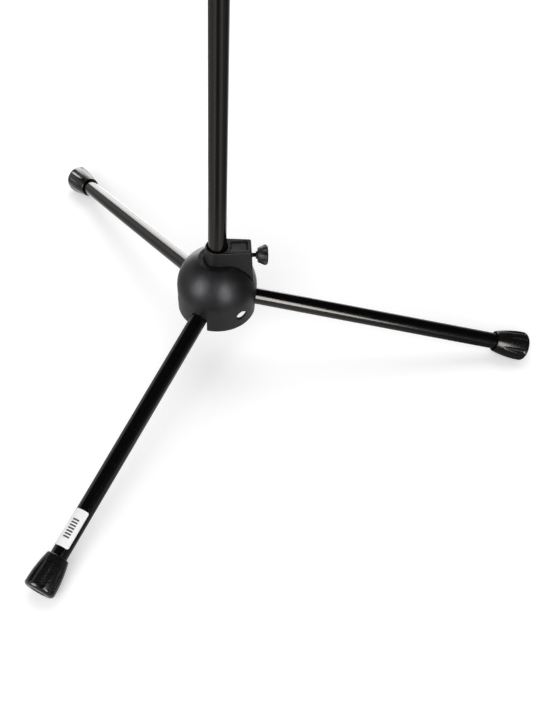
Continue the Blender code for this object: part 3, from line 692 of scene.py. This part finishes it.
def collar_outline(grow):
    """Plan of the collar ring and clamp block, as one tapered teardrop with round corners."""
    ring = COLLAR_R + grow
    half = BLOCK_HALF_W + grow
    end = BLOCK_END_X + grow
    corner = COLLAR_CORNER
    reach = hypot(end - corner, half - corner)
    tilt = atan2(half - corner, end - corner)
    tangent = tilt + acos((ring - corner) / reach)
    side = arc((end - corner, half - corner), corner, 0, tangent, 8)
    other = [(x, -y) for x, y in reversed(side)]
    back = arc((0, 0), ring, tangent, 2 * pi - tangent, 72)
    return side + back + other


def collar_solid():
    """The collar and block, rounded at the top and widening downwards."""
    edge = arc((-COLLAR_ROUND, COLLAR_TOP_Z - COLLAR_ROUND), COLLAR_ROUND, pi / 2, 0, 5)
    drop = COLLAR_TOP_Z - DOME_Z
    widen = COLLAR_DRAFT * drop / (COLLAR_TOP_Z - DOME_FLAT_Z)
    levels = [*edge, (widen, DOME_Z)]
    shape = bmesh.new()
    rings = [[shape.verts.new((x, y, z)) for x, y in collar_outline(grow)] for grow, z in levels]
    for upper, lower in zip(rings, rings[1:]):
        for i in range(len(upper)):
            shape.faces.new((upper[i - 1], lower[i - 1], lower[i], upper[i]))
    shape.faces.new(rings[0])
    shape.faces.new(list(reversed(rings[-1])))
    return new_object("collar", shape)


def hub_ribs():
    """Two ribs beside each leg, from the middle of the hub wall inwards."""
    middle_r = DOME_R - HUB_WALL / 2
    low = RIM_Z + RIB_LIFT
    end = acos(hypot(RIB_INNER, RIB_OUTSIDE) / middle_r)
    wall = [(rim_radius(low) - HUB_WALL / 2, low), *arc((0, DOME_Z), middle_r, 0, end, 24)]
    outline = [(RIB_INNER, low)] + [(sqrt(r ** 2 - RIB_OUTSIDE ** 2), z) for r, z in wall]
    plate = prism("ribs", outline, -RIB_WALL / 2, RIB_WALL / 2)
    upright = Matrix.Rotation(pi / 2, 4, "X")
    matrices = []
    for turn in LEG_TURNS.values():
        for side in (-1, 1):
            shift = Matrix.Translation((0, side * (RIB_OUTSIDE - RIB_WALL / 2), 0))
            matrices.append(turn @ shift @ upright)
    return copied(plate, matrices)


def slot_cutters():
    """Three arched slots that follow the spread legs and are open down to the rim."""
    drop = SLOT_HALF_W - LEG_R - LEG_TOP_GAP
    depth = 2 * DOME_R
    arch = arc((0, -drop), SLOT_HALF_W, 0, pi, 40)
    outline = [(-SLOT_HALF_W, -depth), (SLOT_HALF_W, -depth), *arch]
    length = DOME_R / 2
    tunnel = prism("slots", outline, -length / 2, length / 2)
    stand = Matrix.Rotation(pi / 2, 4, "Z") @ Matrix.Rotation(pi / 2, 4, "X")
    middle = Matrix.Translation((DOME_R - 2 * HUB_WALL + length / 2, 0, 0))
    slope = Matrix.Rotation(LEG_SLOPE, 4, "Y")
    return copied(tunnel, [turn @ slope @ middle @ stand for turn in LEG_TURNS.values()])


def hub_shell():
    """The dome, skirt and the sleeve round the tube, hollow from below."""
    inner_top = DOME_FLAT_Z - HUB_WALL
    profile = [(0, DOME_FLAT_Z), *dome_outline(0.0, 40)]
    profile += [(RIM_R, RIM_Z, RIM_ROUND), (RIM_R - HUB_WALL, RIM_Z, RIM_ROUND)]
    profile += list(reversed(dome_outline(HUB_WALL, 24)))
    profile += [(SLEEVE_R, inner_top), (SLEEVE_R, SLEEVE_Z), (0, SLEEVE_Z)]
    return lathe("hub_moulding", rounded(profile))


def hub_core():
    """The hub's inside up to the middle of its wall, where the collar stops."""
    outline = [(0, DOME_FLAT_Z - HUB_WALL / 2), *dome_outline(HUB_WALL / 2, 24)]
    outline += [(RIM_R - HUB_WALL / 2, 2 * RIM_Z), (0, 2 * RIM_Z)]
    return lathe("core", outline)


def bore_cutter():
    """The tube's hole, wider at its mouth."""
    above = COLLAR_TOP_Z + MOUTH_R
    step = COLLAR_TOP_Z - MOUTH_DEPTH
    below = SLEEVE_Z - BORE_R
    mouth = [(0, above), (MOUTH_R, above), (MOUTH_R, step)]
    return lathe("bore", mouth + [(BORE_R, step), (BORE_R, below), (0, below)])


def clamp_cutters():
    """The insert's pocket, the window from it to the tube, and the thumb screw's hole."""
    start, end = POCKET_X
    half = POCKET_HALF_W
    corners = ((start, -half), (end, -half), (end, half), (start, half))
    outline = rounded([(x, y, POCKET_CORNER) for x, y in corners], True)
    pocket = prism("pocket", outline, POCKET_FLOOR_Z, COLLAR_TOP_Z + MOUTH_R)
    window = block("window", (POLE_R / 2, -WINDOW_HALF_W, SCREW_Z - WINDOW_HALF_H),
                   (start + GAP, WINDOW_HALF_W, SCREW_Z + WINDOW_HALF_H))
    across = Matrix.Translation((0, 0, SCREW_Z)) @ ALONG_X
    hole = moved(rod("hole", SCREW_HOLE_R, end - GAP, BLOCK_END_X + POLE_R), across)
    return pocket, window, hole


def pivot_cutters():
    """The pivot screws' holes through the ribs, and the access holes in the skirt."""
    inward = DATUM.inverted()
    pivots = [inward @ pivot_matrix(letter) for letter in LEG_TURNS]
    pins = copied(rod("pins", PIVOT_HOLE_R, -2 * SLOT_HALF_W, 2 * SLOT_HALF_W), pivots)
    inner_end = -RIB_OUTSIDE - 2 * GAP - ACCESS_CLEAR
    access = copied(rod("access", ACCESS_R, -2 * DOME_R, inner_end), pivots)
    return pins, access


def hub_moulding():
    """The dome, skirt, ribs, collar and clamp block, with soft moulded edges."""
    hub = hub_shell()
    combine(hub, cut(collar_solid(), hub_core()), "UNION")
    combine(hub, hub_ribs(), "UNION")
    cut(hub, bore_cutter(), *clamp_cutters(), slot_cutters(), *pivot_cutters())
    soften_edges(hub)
    return moved(hub, DATUM)


def rod(name, radius, low, high, sides=SMALL_SIDES, edge=0.0):
    """A solid rod along Z, rounded at both ends where edge is set."""
    return lathe(name, rounded([(0, high), (radius, high, edge), (radius, low, edge), (0, low)]), sides)


def soften_edges(hub):
    """Rounds every edge a little, and puts the dome and skirt back on their true surface."""
    step = hub.modifiers.new("voxels", "REMESH")
    step.mode = "VOXEL"
    step.voxel_size = VOXEL
    relax = hub.modifiers.new("relax", "SMOOTH")
    relax.factor = 0.5
    relax.iterations = RELAX_TIMES
    settle(hub)
    hub.data.shade_smooth()
    count = len(hub.data.vertices)
    spots = np.zeros(3 * count)
    normals = np.zeros(3 * count)
    hub.data.vertices.foreach_get("co", spots)
    hub.data.vertex_normals.foreach_get("vector", normals)
    spots = spots.reshape(-1, 3)
    normals = normals.reshape(-1, 3)
    above = spots[:, 2] > DOME_Z
    outward = spots.copy()
    outward[:, 2] = np.where(above, spots[:, 2] - DOME_Z, 0.0)
    level = np.linalg.norm(outward, axis=1)
    outward /= np.maximum(level, VOXEL)[:, None]
    off = level - np.where(above, DOME_R, rim_radius(spots[:, 2]))
    facing = np.sum(outward * normals, axis=1)
    snapped = (abs(off) < VOXEL / 2) & (facing > OUTER_FACING)
    spots -= outward * (off * snapped)[:, None]
    hub.data.vertices.foreach_set("co", spots.ravel())
    hub.data.update()


# Clamp

def pocket_insert():
    low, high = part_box("clamp_insert")
    return block("pocket_insert", low, high, INSERT_ROUND)


def scoop(radius, turn, count, cutter, centre, blend, start=0.0):
    """A turned piece's radius where round cutters, evenly spaced about the axis, take from it.

    start turns the cutters on by a share of their spacing.
    """
    pitch = 2 * pi / count
    off = ((turn + start * pitch) % pitch) - pitch / 2
    room = cutter ** 2 - (centre * sin(off)) ** 2
    if room <= 0:
        return radius
    return smooth_min(radius, centre * cos(off) - sqrt(room), blend)


def threaded(pitch, low, high):
    """Reshapes a rod into a screw thread between two heights, fading out at its ends."""
    def reshape(radius, height, turn):
        share = (height / pitch - turn / (2 * pi)) % 1.0
        groove = 1 - abs(2 * share - 1)
        inside = min(max((height - low) / pitch, 0.0), max((high - height) / pitch, 0.0), 1.0)
        return radius - pitch * THREAD_SLOPE * groove * inside
    return reshape


def side_rows(radius, high, low, count):
    """Points down a straight side, evenly spaced, that carry its thread or grooves."""
    return [(radius, high - (high - low) * i / count) for i in range(count + 1)]


def thumb_stud_piece():
    top, bottom = STUD_HIGH - STUD_EDGE, STUD_LOW + STUD_EDGE
    end_r = STUD_R - STUD_EDGE
    side = side_rows(STUD_R, top, bottom, int((top - bottom) / (STUD_PITCH / STUD_ROWS)))
    profile = [(0, STUD_HIGH), (end_r, STUD_HIGH), *side, (end_r, STUD_LOW), (0, STUD_LOW)]
    stud = lathe("thumb_screw_stud", profile, STUD_SIDES, reshape=threaded(STUD_PITCH, bottom, top))
    moved(stud, THUMB_AXIS)
    finish_piece(stud, BLACK_SCREW, "zinc_steel", "thumb_screw", "thumb_stud")


def lobed(neck):
    """Reshapes the turned knob with the hollows between its lobes, which start above its neck."""
    centre = KNOB_R - LOBE_DEPTH + LOBE_CUT_R

    def reshape(radius, height, turn):
        past = height - neck - LOBE_START
        if past <= 0 or radius < KNOB_HUB_R:
            return radius
        scooped = scoop(radius, turn, KNOB_LOBES, LOBE_CUT_R, centre, LOBE_BLEND)
        return radius + (scooped - radius) * min(past / LOBE_FADE, 1.0)
    return reshape


def thumb_knob_piece():
    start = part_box("thumb_knob")[0].x
    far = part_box("thumb_knob")[1].x
    neck = start + KNOB_NECK
    round_end = arc((KNOB_R - KNOB_ROUND, far - KNOB_ROUND), KNOB_ROUND, pi / 2, -KNOB_FLARE, 14)
    last_r, last_z = round_end[-1]
    hem_r, hem_z = KNOB_NECK_R - KNOB_HEM_R, neck + KNOB_HEM_Z
    waist = [(last_r + (KNOB_NECK_R - last_r) * i / 10, last_z + (hem_z - last_z) * i / 10)
             for i in range(1, 11)]
    face = [(KNOB_R * share, far) for share in (0.1, 0.2, 0.3, 0.4, 0.5, 0.6)]
    bore_r = STUD_R + GAP
    bore_z = STUD_HIGH + GAP
    profile = [(0, far), *face, *round_end, *waist, (hem_r, neck), (KNOB_HUB_R, neck)]
    profile += [(KNOB_HUB_R, start + KNOB_EDGE), (KNOB_HUB_R - KNOB_EDGE, start), (bore_r, start)]
    profile += [(bore_r, bore_z), (0, bore_z)]
    knob = moved(lathe("thumb_screw_knob", profile, reshape=lobed(neck)), THUMB_AXIS)
    finish_piece(knob, KNOB_PLASTIC, "knob_plastic", "thumb_screw", "thumb_knob")


# Legs

def hexagon(flats):
    return arc((0, 0), flats / 2 / cos(pi / 6), 0, 2 * pi * 5 / 6, 5)


def pivot_screw_piece(letter):
    """The screw with the hexagon socket in its head."""
    face = RIB_OUTSIDE + GAP
    tail = face + PIVOT_TAIL
    head = -face - PIVOT_HEAD
    shank_r = PIVOT_HOLE_R - GAP
    profile = [(0, tail), (shank_r, tail, 5 * EDGE), (shank_r, -face, EDGE)]
    profile += [(PIVOT_HEAD_R, -face, 2 * EDGE), (PIVOT_HEAD_R, head, 8 * EDGE), (0, head)]
    screw = lathe("pivot_bolt_" + letter, rounded(profile), SMALL_SIDES)
    cut(screw, prism("socket", hexagon(PIVOT_KEY), head - PAST, head + PIVOT_KEY_DEPTH))
    smooth(screw.data, radians(30))
    moved(screw, pivot_matrix(letter))
    finish_piece(screw, ZINC_STEEL, "zinc_steel", "base", "pivot_screw_" + letter)


def pivot_nut_piece(letter):
    """The hexagon nut with its chamfered corners."""
    low = RIB_OUTSIDE + GAP
    high = low + NUT_HEIGHT
    face_r = NUT_FLATS / 2
    nut = prism("pivot_nut_fine_" + letter, hexagon(NUT_FLATS), low, high)
    cone = [(0, high), (face_r, high), (NUT_CONE_R, high - NUT_CHAMFER)]
    cone += [(NUT_CONE_R, low + NUT_CHAMFER), (face_r, low), (0, low)]
    combine(nut, lathe("chamfer", cone, SMALL_SIDES), "INTERSECT")
    cut(nut, rod("thread", PIVOT_HOLE_R, low - PAST, high + PAST))
    smooth(nut.data, radians(25))
    moved(nut, pivot_matrix(letter))
    finish_piece(nut, ZINC_STEEL, "zinc_steel", "base", "pivot_nut_" + letter)


def heel_piece(letter):
    """The leg's inner end: an eye on the pivot and a plug in the tube."""
    half = LEG_R + LEG_SIDE_GAP - GAP
    eye = moved(rod("heel_" + letter, EYE_R, -half, half, SIDES, 5 * EDGE), ALONG_Y)
    plug_r = LEG_R - LEG_WALL - GAP
    end = HEEL_SHOULDER + HEEL_PLUG
    profile = [(0, end), (plug_r, end, 8 * EDGE), (plug_r, HEEL_SHOULDER)]
    profile += [(LEG_R, HEEL_SHOULDER, 4 * EDGE), (LEG_R, 0), (0, 0)]
    combine(eye, moved(lathe("plug", rounded(profile), 96), ALONG_X), "UNION")
    cut(eye, moved(rod("eye_hole", PIVOT_HOLE_R, -2 * half, 2 * half), ALONG_Y))
    smooth(moved(eye, leg_matrix(letter, PIVOT_ALONG)).data)
    finish_piece(eye, INNER_PLASTIC, "inner_plastic", "leg_" + letter, "leg_heel_" + letter)


def tube(name, outer, wall, low, high):
    """An open tube along Z with its four edges rounded."""
    inner = outer - wall
    edge = wall / 4
    profile = [(inner, high, edge), (outer, high, edge), (outer, low, edge), (inner, low, edge)]
    return lathe(name, rounded(profile, True, 3), closed=True)


def leg_tube_piece(letter):
    low = PIVOT_ALONG + HEEL_SHOULDER + GAP
    high = FOOT_MOUTH + FOOT_LENGTH - FOOT_END_WALL - GAP
    leg = tube("leg_" + letter + "_tube", LEG_R, LEG_WALL, low, high)
    moved(leg, leg_matrix(letter, 0) @ ALONG_X)
    finish_piece(leg, LEG_STEEL, "black_steel", "leg_" + letter, "leg_tube_" + letter)


def foot_radius(along):
    share = min(along / FOOT_WIDE, 1.0)
    return FOOT_MOUTH_R + (FOOT_R - FOOT_MOUTH_R) * (1 - (1 - share) ** FOOT_SWELL)


def fluted(radius, along, turn):
    """The foot's radius with its flutes, which sink in towards the outer end and stop round."""
    if radius < FOOT_MOUTH_R - FOOT_CUP_WALL / 2:
        return radius
    far = FOOT_LENGTH - FLUTE_END
    near_c = foot_radius(FLUTE_START) + FLUTE_R
    far_c = foot_radius(far) + FLUTE_R - FLUTE_DEPTH
    centre = near_c + (far_c - near_c) * (along - FLUTE_START) / (far - FLUTE_START)
    past = max(along - far, 0.0)
    if past >= FLUTE_R:
        return radius
    return scoop(radius, turn, FLUTES, sqrt(FLUTE_R ** 2 - past ** 2), centre, FLUTE_BLEND)


def foot_piece(letter):
    """The fluted foot, with its mouth lip, socket, dished end and the flat it stands on."""
    lip = FOOT_LIP
    rows = [FOOT_WIDE * i / FOOT_ROWS for i in range(FOOT_ROWS, 0, -1)]
    flank = [(foot_radius(z), z) for z in rows if z > lip]
    flank += [(foot_radius(lip), lip), (FOOT_MOUTH_R - lip, 0)]
    rounding = arc((FOOT_R - FOOT_ROUND, FOOT_LENGTH - FOOT_ROUND), FOOT_ROUND, pi / 2, 0, 16)
    sunk = FOOT_LENGTH - DISH_DEPTH
    dish = [(0, sunk), (DISH_R - DISH_DEPTH, sunk, DISH_DEPTH)]
    dish += [(DISH_R, FOOT_LENGTH, DISH_DEPTH / 2), (DISH_R + 2 * DISH_DEPTH, FOOT_LENGTH)]
    cup_r = FOOT_MOUTH_R - FOOT_CUP_WALL
    socket_r = LEG_R + GAP
    bottom = FOOT_LENGTH - FOOT_END_WALL
    inside = [(cup_r, 0, lip / 2), (cup_r, FOOT_CUP_DEPTH, lip), (socket_r, FOOT_CUP_DEPTH, lip)]
    inside += [(socket_r, bottom), (0, bottom)]
    profile = rounded(dish) + rounding + flank + rounded([flank[-1], *inside])[1:]
    foot = lathe("fluted_foot_" + letter, profile, FOOT_SIDES, reshape=fluted)
    moved(foot, leg_matrix(letter, FOOT_MOUTH) @ ALONG_X)
    for vertex in foot.data.vertices:
        vertex.co.z = max(vertex.co.z, 0.0)
    finish_piece(foot, FOOT_RUBBER, "foot_rubber", "leg_" + letter, "foot_" + letter)


def label_piece():
    """A thin film wrapped over leg a, with round corners and a map of its own for its bars."""
    rows, columns = LABEL_GRID
    low_r = LEG_R + STICKER_LIFT
    half = STICKER_HALF_ANGLE * LEG_R
    shape = bmesh.new()
    uv = shape.loops.layers.uv.new("label")
    places = {}

    def point(row, column, radius):
        along = STICKER_LENGTH * row / rows
        from_end = min(along, STICKER_LENGTH - along)
        inset = 0.0
        if from_end < STICKER_CORNER:
            inset = STICKER_CORNER - sqrt(STICKER_CORNER ** 2 - (STICKER_CORNER - from_end) ** 2)
        across = (half - inset) * (2 * column / columns - 1)
        angle = pi + across / LEG_R
        vertex = shape.verts.new((radius * cos(angle), radius * sin(angle), along))
        places[vertex] = (along / STICKER_LENGTH, (across + half) / (2 * half))
        return vertex

    def grid(radius):
        return [[point(i, j, radius) for j in range(columns + 1)] for i in range(rows + 1)]

    top, under = grid(low_r + STICKER_THICK), grid(low_r)
    for i in range(rows):
        for j in range(columns):
            shape.faces.new((top[i][j], top[i][j + 1], top[i + 1][j + 1], top[i + 1][j]))
            shape.faces.new((under[i][j], under[i + 1][j], under[i + 1][j + 1], under[i][j + 1]))
        for j in (0, columns):
            shape.faces.new((top[i][j], top[i + 1][j], under[i + 1][j], under[i][j]))
    for j in range(columns):
        for i in (0, rows):
            shape.faces.new((top[i][j], under[i][j], under[i][j + 1], top[i][j + 1]))
    bmesh.ops.recalc_face_normals(shape, faces=shape.faces)
    for face in shape.faces:
        for loop in face.loops:
            loop[uv].uv = places[loop.vert]
    label = new_object("leg_label", shape, radians(60))
    moved(label, leg_matrix("a", STICKER_FROM) @ ALONG_X)
    finish_piece(label, LABEL_FILM, "sticker_paper", "leg_a", "leg_sticker")


# Pole and what it carries

def pole_tube_pieces():
    low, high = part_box("lower_tube")
    pole = tube("pole_lower", POLE_R, POLE_WALL, low.z, high.z)
    finish_piece(pole, POLE_STEEL, "black_steel", "pole", "lower_tube")
    low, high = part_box("upper_tube")
    pole = tube("pole_upper", UPPER_R, UPPER_WALL, low.z, high.z)
    finish_piece(pole, POLE_STEEL, "black_steel", "upper_pole", "upper_tube")


def cone_piece():
    """The cone that bears on the heels, with the tube's seat and the screw's hole."""
    low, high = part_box("locking_cone")
    wide_r = high.x
    pole_r = POLE_R + GAP
    seat = high.z - CONE_SEAT
    profile = [(pole_r, high.z, 3 * EDGE), (wide_r, high.z, 6 * EDGE)]
    profile += [(wide_r, high.z - CONE_RIM, 4 * EDGE), (CONE_NOSE_R, low.z, 4 * EDGE)]
    profile += [(CONE_HOLE_R, low.z, 2 * EDGE), (CONE_HOLE_R, seat), (pole_r, seat)]
    cone = lathe("wedge_cone", rounded(profile, True), closed=True)
    finish_piece(cone, INNER_PLASTIC, "inner_plastic", "pole", "locking_cone")


def cone_screw_piece():
    """The screw up through the cone, with a cross in its head."""
    low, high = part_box("cone_screw")
    head_r = high.x
    head_z = low.z + CONE_SCREW_HEAD
    shank_r = CONE_HOLE_R - GAP
    profile = [(0, high.z), (shank_r, high.z, 6 * EDGE), (shank_r, head_z)]
    profile += [(head_r, head_z, 3 * EDGE), (head_r, low.z, 12 * EDGE), (0, low.z)]
    screw = lathe("cone_bolt", rounded(profile), SMALL_SIDES)
    half = CROSS_HALF_W
    for x, y in ((CROSS_REACH, half), (half, CROSS_REACH)):
        cut(screw, block("cross", (-x, -y, low.z - half), (x, y, low.z + 2 * half)))
    smooth(screw.data, radians(30))
    finish_piece(screw, ZINC_STEEL, "zinc_steel", "pole", "cone_screw")


def grooved(count, depth, cutter, outer_r, low, high, fade):
    """Reshapes a turned piece with lengthwise grooves that run out softly at both ends."""
    centre = outer_r - depth + cutter

    def reshape(radius, height, turn):
        inside = min((height - low) / fade, (high - height) / fade, 1.0)
        if radius < centre - 2 * cutter or inside <= 0:
            return radius
        scooped = scoop(radius, turn, count, cutter, centre, GROOVE_BLEND, 0.5)
        return radius + (scooped - radius) * inside
    return reshape


def clutch_sleeve_piece():
    low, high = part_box("clutch_body")
    bore, neck, wide = POLE_R + GAP, UPPER_R + CLUTCH_NECK_GAP, high.x
    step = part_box("lower_tube")[1].z + GAP
    profile = [(neck, high.z, 3 * EDGE), (wide, high.z, 8 * EDGE), (wide, low.z, 10 * EDGE)]
    profile += [(bore, low.z, 3 * EDGE), (bore, step), (neck, step)]
    body = lathe("clutch_sleeve", rounded(profile, True), closed=True)
    finish_piece(body, CLUTCH_PLASTIC, "clutch_plastic", "pole", "clutch_body")


def clutch_grip_piece():
    """The grip that turns on the clutch, with lengthwise grooves and a round shoulder."""
    low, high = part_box("clutch_grip")
    top, bottom = high.z - GRIP_ROUND, low.z + GRIP_EDGE
    side = side_rows(GRIP_R, top, bottom, GRIP_ROWS)
    shoulder = arc((GRIP_R - GRIP_ROUND, top), GRIP_ROUND, pi / 2, 0, 8)[:-1]
    profile = [(GRIP_MOUTH_R, high.z), *shoulder, *side, (GRIP_R - GRIP_EDGE, low.z)]
    profile += [(GRIP_INNER_R, low.z), (GRIP_INNER_R, high.z - GRIP_CAP)]
    profile += [(GRIP_MOUTH_R, high.z - GRIP_CAP)]
    grooves = grooved(GRIP_GROOVES, GRIP_GROOVE_DEPTH, GRIP_GROOVE_R, GRIP_R,
                      low.z + GRIP_GROOVE_LOW, high.z - GRIP_GROOVE_HIGH, GRIP_GROOVE_FADE)
    grip = lathe("clutch_handle", profile, RIDGED_SIDES, closed=True, reshape=grooves)
    finish_piece(grip, CLUTCH_PLASTIC, "clutch_plastic", "clutch", "clutch_grip")


def thread_end_piece():
    """The plug in the upper tube with its flange, and the thread for the clip above it."""
    low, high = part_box("thread_end")
    plug_r = UPPER_R - UPPER_WALL - GAP
    seat = high.z - END_SEAT
    root = seat + END_FLANGE
    top = high.z - END_EDGE
    side = side_rows(END_THREAD_R, top, root, int((top - root) / (END_THREAD_PITCH / END_ROWS)))
    profile = [(0, high.z), (END_THREAD_R - END_EDGE, high.z), *side]
    flange = [side[-1], (UPPER_R, root, 4 * EDGE), (UPPER_R, seat, 3 * EDGE), (plug_r, seat)]
    profile += rounded([*flange, (plug_r, low.z, 6 * EDGE), (0, low.z)])[1:]
    end = lathe("threaded_stud", profile, END_SIDES, reshape=threaded(END_THREAD_PITCH, root, top))
    finish_piece(end, ZINC_STEEL, "zinc_steel", "upper_pole", "thread_end")


def disc_piece():
    low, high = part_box("lock_disc")
    hole = END_THREAD_R + GAP
    top, bottom = high.z - DISC_EDGE, low.z + DISC_EDGE
    side = side_rows(DISC_R, top, bottom, DISC_ROWS)
    profile = [(hole, high.z), (DISC_R - DISC_EDGE, high.z), *side]
    profile += [(DISC_R - DISC_EDGE, low.z), (hole, low.z)]
    notches = grooved(DISC_NOTCHES, DISC_NOTCH_DEPTH, DISC_NOTCH_R, DISC_R,
                      low.z - DISC_R, high.z + DISC_R, DISC_EDGE)
    disc = lathe("lock_ring", profile, RIDGED_SIDES, closed=True, reshape=notches)
    finish_piece(disc, KNOB_PLASTIC, "knob_plastic", "disc", "lock_disc")


# Stage

def camera():
    """The photo's camera, as fitted to the tube, hub, legs and feet."""
    data = bpy.data.cameras.new("camera")
    data.lens = 54.21
    data.sensor_width = 36.0
    data.shift_x = 0.0581
    data.shift_y = 0.0167
    data.clip_start = 0.02
    data.clip_end = 60.0
    made = bpy.data.objects.new("camera", data)
    made.location = (-0.02027, -0.84737, HUB_Z + 0.85161)
    made.rotation_euler = (radians(40.442), radians(-0.713), radians(-1.487))
    bpy.context.scene.collection.objects.link(made)
    bpy.context.scene.camera = made


def floor_material():
    """Matt white, with a glow that grows with distance, so that its far part stays white.

    Glossy rays see a brightness of its own: even near the stand, and by direction farther out.
    """
    made = bpy.data.materials.new("floor_white")
    tree = Nodes(made)
    tree.nodes.remove(tree.nodes["Principled BSDF"])
    place = tree.add("TexCoord").outputs["Object"]
    turn = tree.add("TexGradient", gradient_type="RADIAL")
    tree.feed(turn.inputs["Vector"], place)
    stops = [(azimuth / 360 + 0.5, (value / FLOOR_PEAK,) * 3) for azimuth, value in FLOOR_MIRRORED]
    around = tree.math("MULTIPLY", tree.ramp(turn.outputs["Fac"], *stops), FLOOR_PEAK)
    length = tree.add("VectorMath", operation="LENGTH")
    tree.feed(length.inputs[0], place)
    away = length.outputs["Value"]
    path = tree.add("LightPath")

    mirrored = tree.add("Emission")
    brightness = tree.blend(tree.spread(away, 0.0, 1.0, *FLOOR_TURNS), FLOOR_NEAR, around)
    tree.feed(mirrored.inputs["Strength"], brightness)
    glow = tree.add("Emission")
    grown = tree.spread(away, *FLOOR_GLOW, *FLOOR_GLOW_FROM)
    tree.feed(glow.inputs["Strength"], tree.math("MULTIPLY", path.outputs["Is Camera Ray"], grown))
    matt = tree.add("BsdfDiffuse")
    matt.inputs["Color"].default_value = (0.86, 0.86, 0.86, 1.0)
    seen = tree.add("AddShader")
    tree.feed(seen.inputs[0], matt.outputs["BSDF"])
    tree.feed(seen.inputs[1], glow.outputs["Emission"])
    mix = tree.add("MixShader")
    tree.feed(mix.inputs["Fac"], path.outputs["Is Glossy Ray"])
    tree.feed(mix.inputs[1], seen.outputs["Shader"])
    tree.feed(mix.inputs[2], mirrored.outputs["Emission"])
    tree.feed(tree.nodes["Material Output"].inputs["Surface"], mix.outputs["Shader"])
    return made


def floor():
    shape = bmesh.new()
    bmesh.ops.create_grid(shape, x_segments=8, y_segments=8, size=8.0)
    made = new_object("floor", shape)
    made.data.materials.append(floor_material())


def area_light(name, azimuth, elevation, distance, width, height, radiance):
    """A softbox that faces the hub, at a direction from it in degrees."""
    data = bpy.data.lights.new(name, "AREA")
    data.shape = "RECTANGLE"
    data.size = width
    data.size_y = height
    data.energy = radiance * pi * width * height
    made = bpy.data.objects.new(name, data)
    a, e = radians(azimuth), radians(elevation)
    out = Vector((cos(a) * cos(e), sin(a) * cos(e), sin(e)))
    made.location = Vector((0, 0, HUB_Z)) + out * distance
    made.rotation_euler = out.to_track_quat("Z", "Y").to_euler()
    made.visible_camera = False
    bpy.context.scene.collection.objects.link(made)
    return made


def lights():
    """Softboxes that only show as reflections, and fills that only light matt surfaces."""
    for softbox in (
            area_light("softbox_left", -144, 20, 1.4, 0.55, 0.92, 12),
            area_light("softbox_right", -67.5, 18, 1.3, 0.41, 0.92, 14),
            area_light("panel_back", 94, 11, 2.0, 1.8, 0.95, 6)):
        softbox.visible_diffuse = False
    for fill in (
            area_light("fill_front", -105, 40, 5.0, 3.0, 3.0, 4.8),
            area_light("fill_top", 90, 74, 4.0, 2.5, 2.5, 2.0)):
        fill.visible_glossy = False


def world():
    """White to the camera and dim to matt surfaces. In reflections it darkens upwards and to +X."""
    made = bpy.data.worlds.new("studio")
    bpy.context.scene.world = made
    tree = Nodes(made)
    back = tree.nodes["Background"]
    back.inputs["Color"].default_value = (1, 1, 1, 1)
    apart = tree.add("SeparateXYZ")
    tree.feed(apart.inputs["Vector"], tree.add("TexCoord").outputs["Generated"])
    up = tree.ramp(apart.outputs["Z"], (0.30, (1, 1, 1)), (0.55, (0.01, 0.01, 0.01)))
    side = tree.spread(apart.outputs["X"], 0.80, 0.10, -0.9, 0.5)
    path = tree.add("LightPath")
    mirrored = tree.math("MULTIPLY", up, side)
    unseen = tree.blend(path.outputs["Is Glossy Ray"], WORLD_FILL, mirrored)
    tree.feed(back.inputs["Strength"], tree.blend(path.outputs["Is Camera Ray"], unseen, 1.0))


camera()
world()
floor()
lights()

finish_piece(hub_moulding(), HUB_PLASTIC, "hub_plastic", "base", "hub_housing")
finish_piece(pocket_insert(), KNOB_PLASTIC, "knob_plastic", "base", "clamp_insert")
dress("clamp_nut", ZINC_STEEL)
dress("clamp_shoe", INNER_PLASTIC)
thumb_stud_piece()
thumb_knob_piece()
for leg_letter in LEG_TURNS:
    for leg_piece in (pivot_screw_piece, pivot_nut_piece, heel_piece, leg_tube_piece, foot_piece):
        leg_piece(leg_letter)
label_piece()
pole_tube_pieces()
cone_piece()
cone_screw_piece()
clutch_sleeve_piece()
clutch_grip_piece()
thread_end_piece()
disc_piece()
for hidden in ("pole_plug", "clutch_collet", "guide_bush"):
    dress(hidden, INNER_PLASTIC)

bpy.context.scene.view_settings.view_transform = "Standard"
bpy.context.view_layer.update()
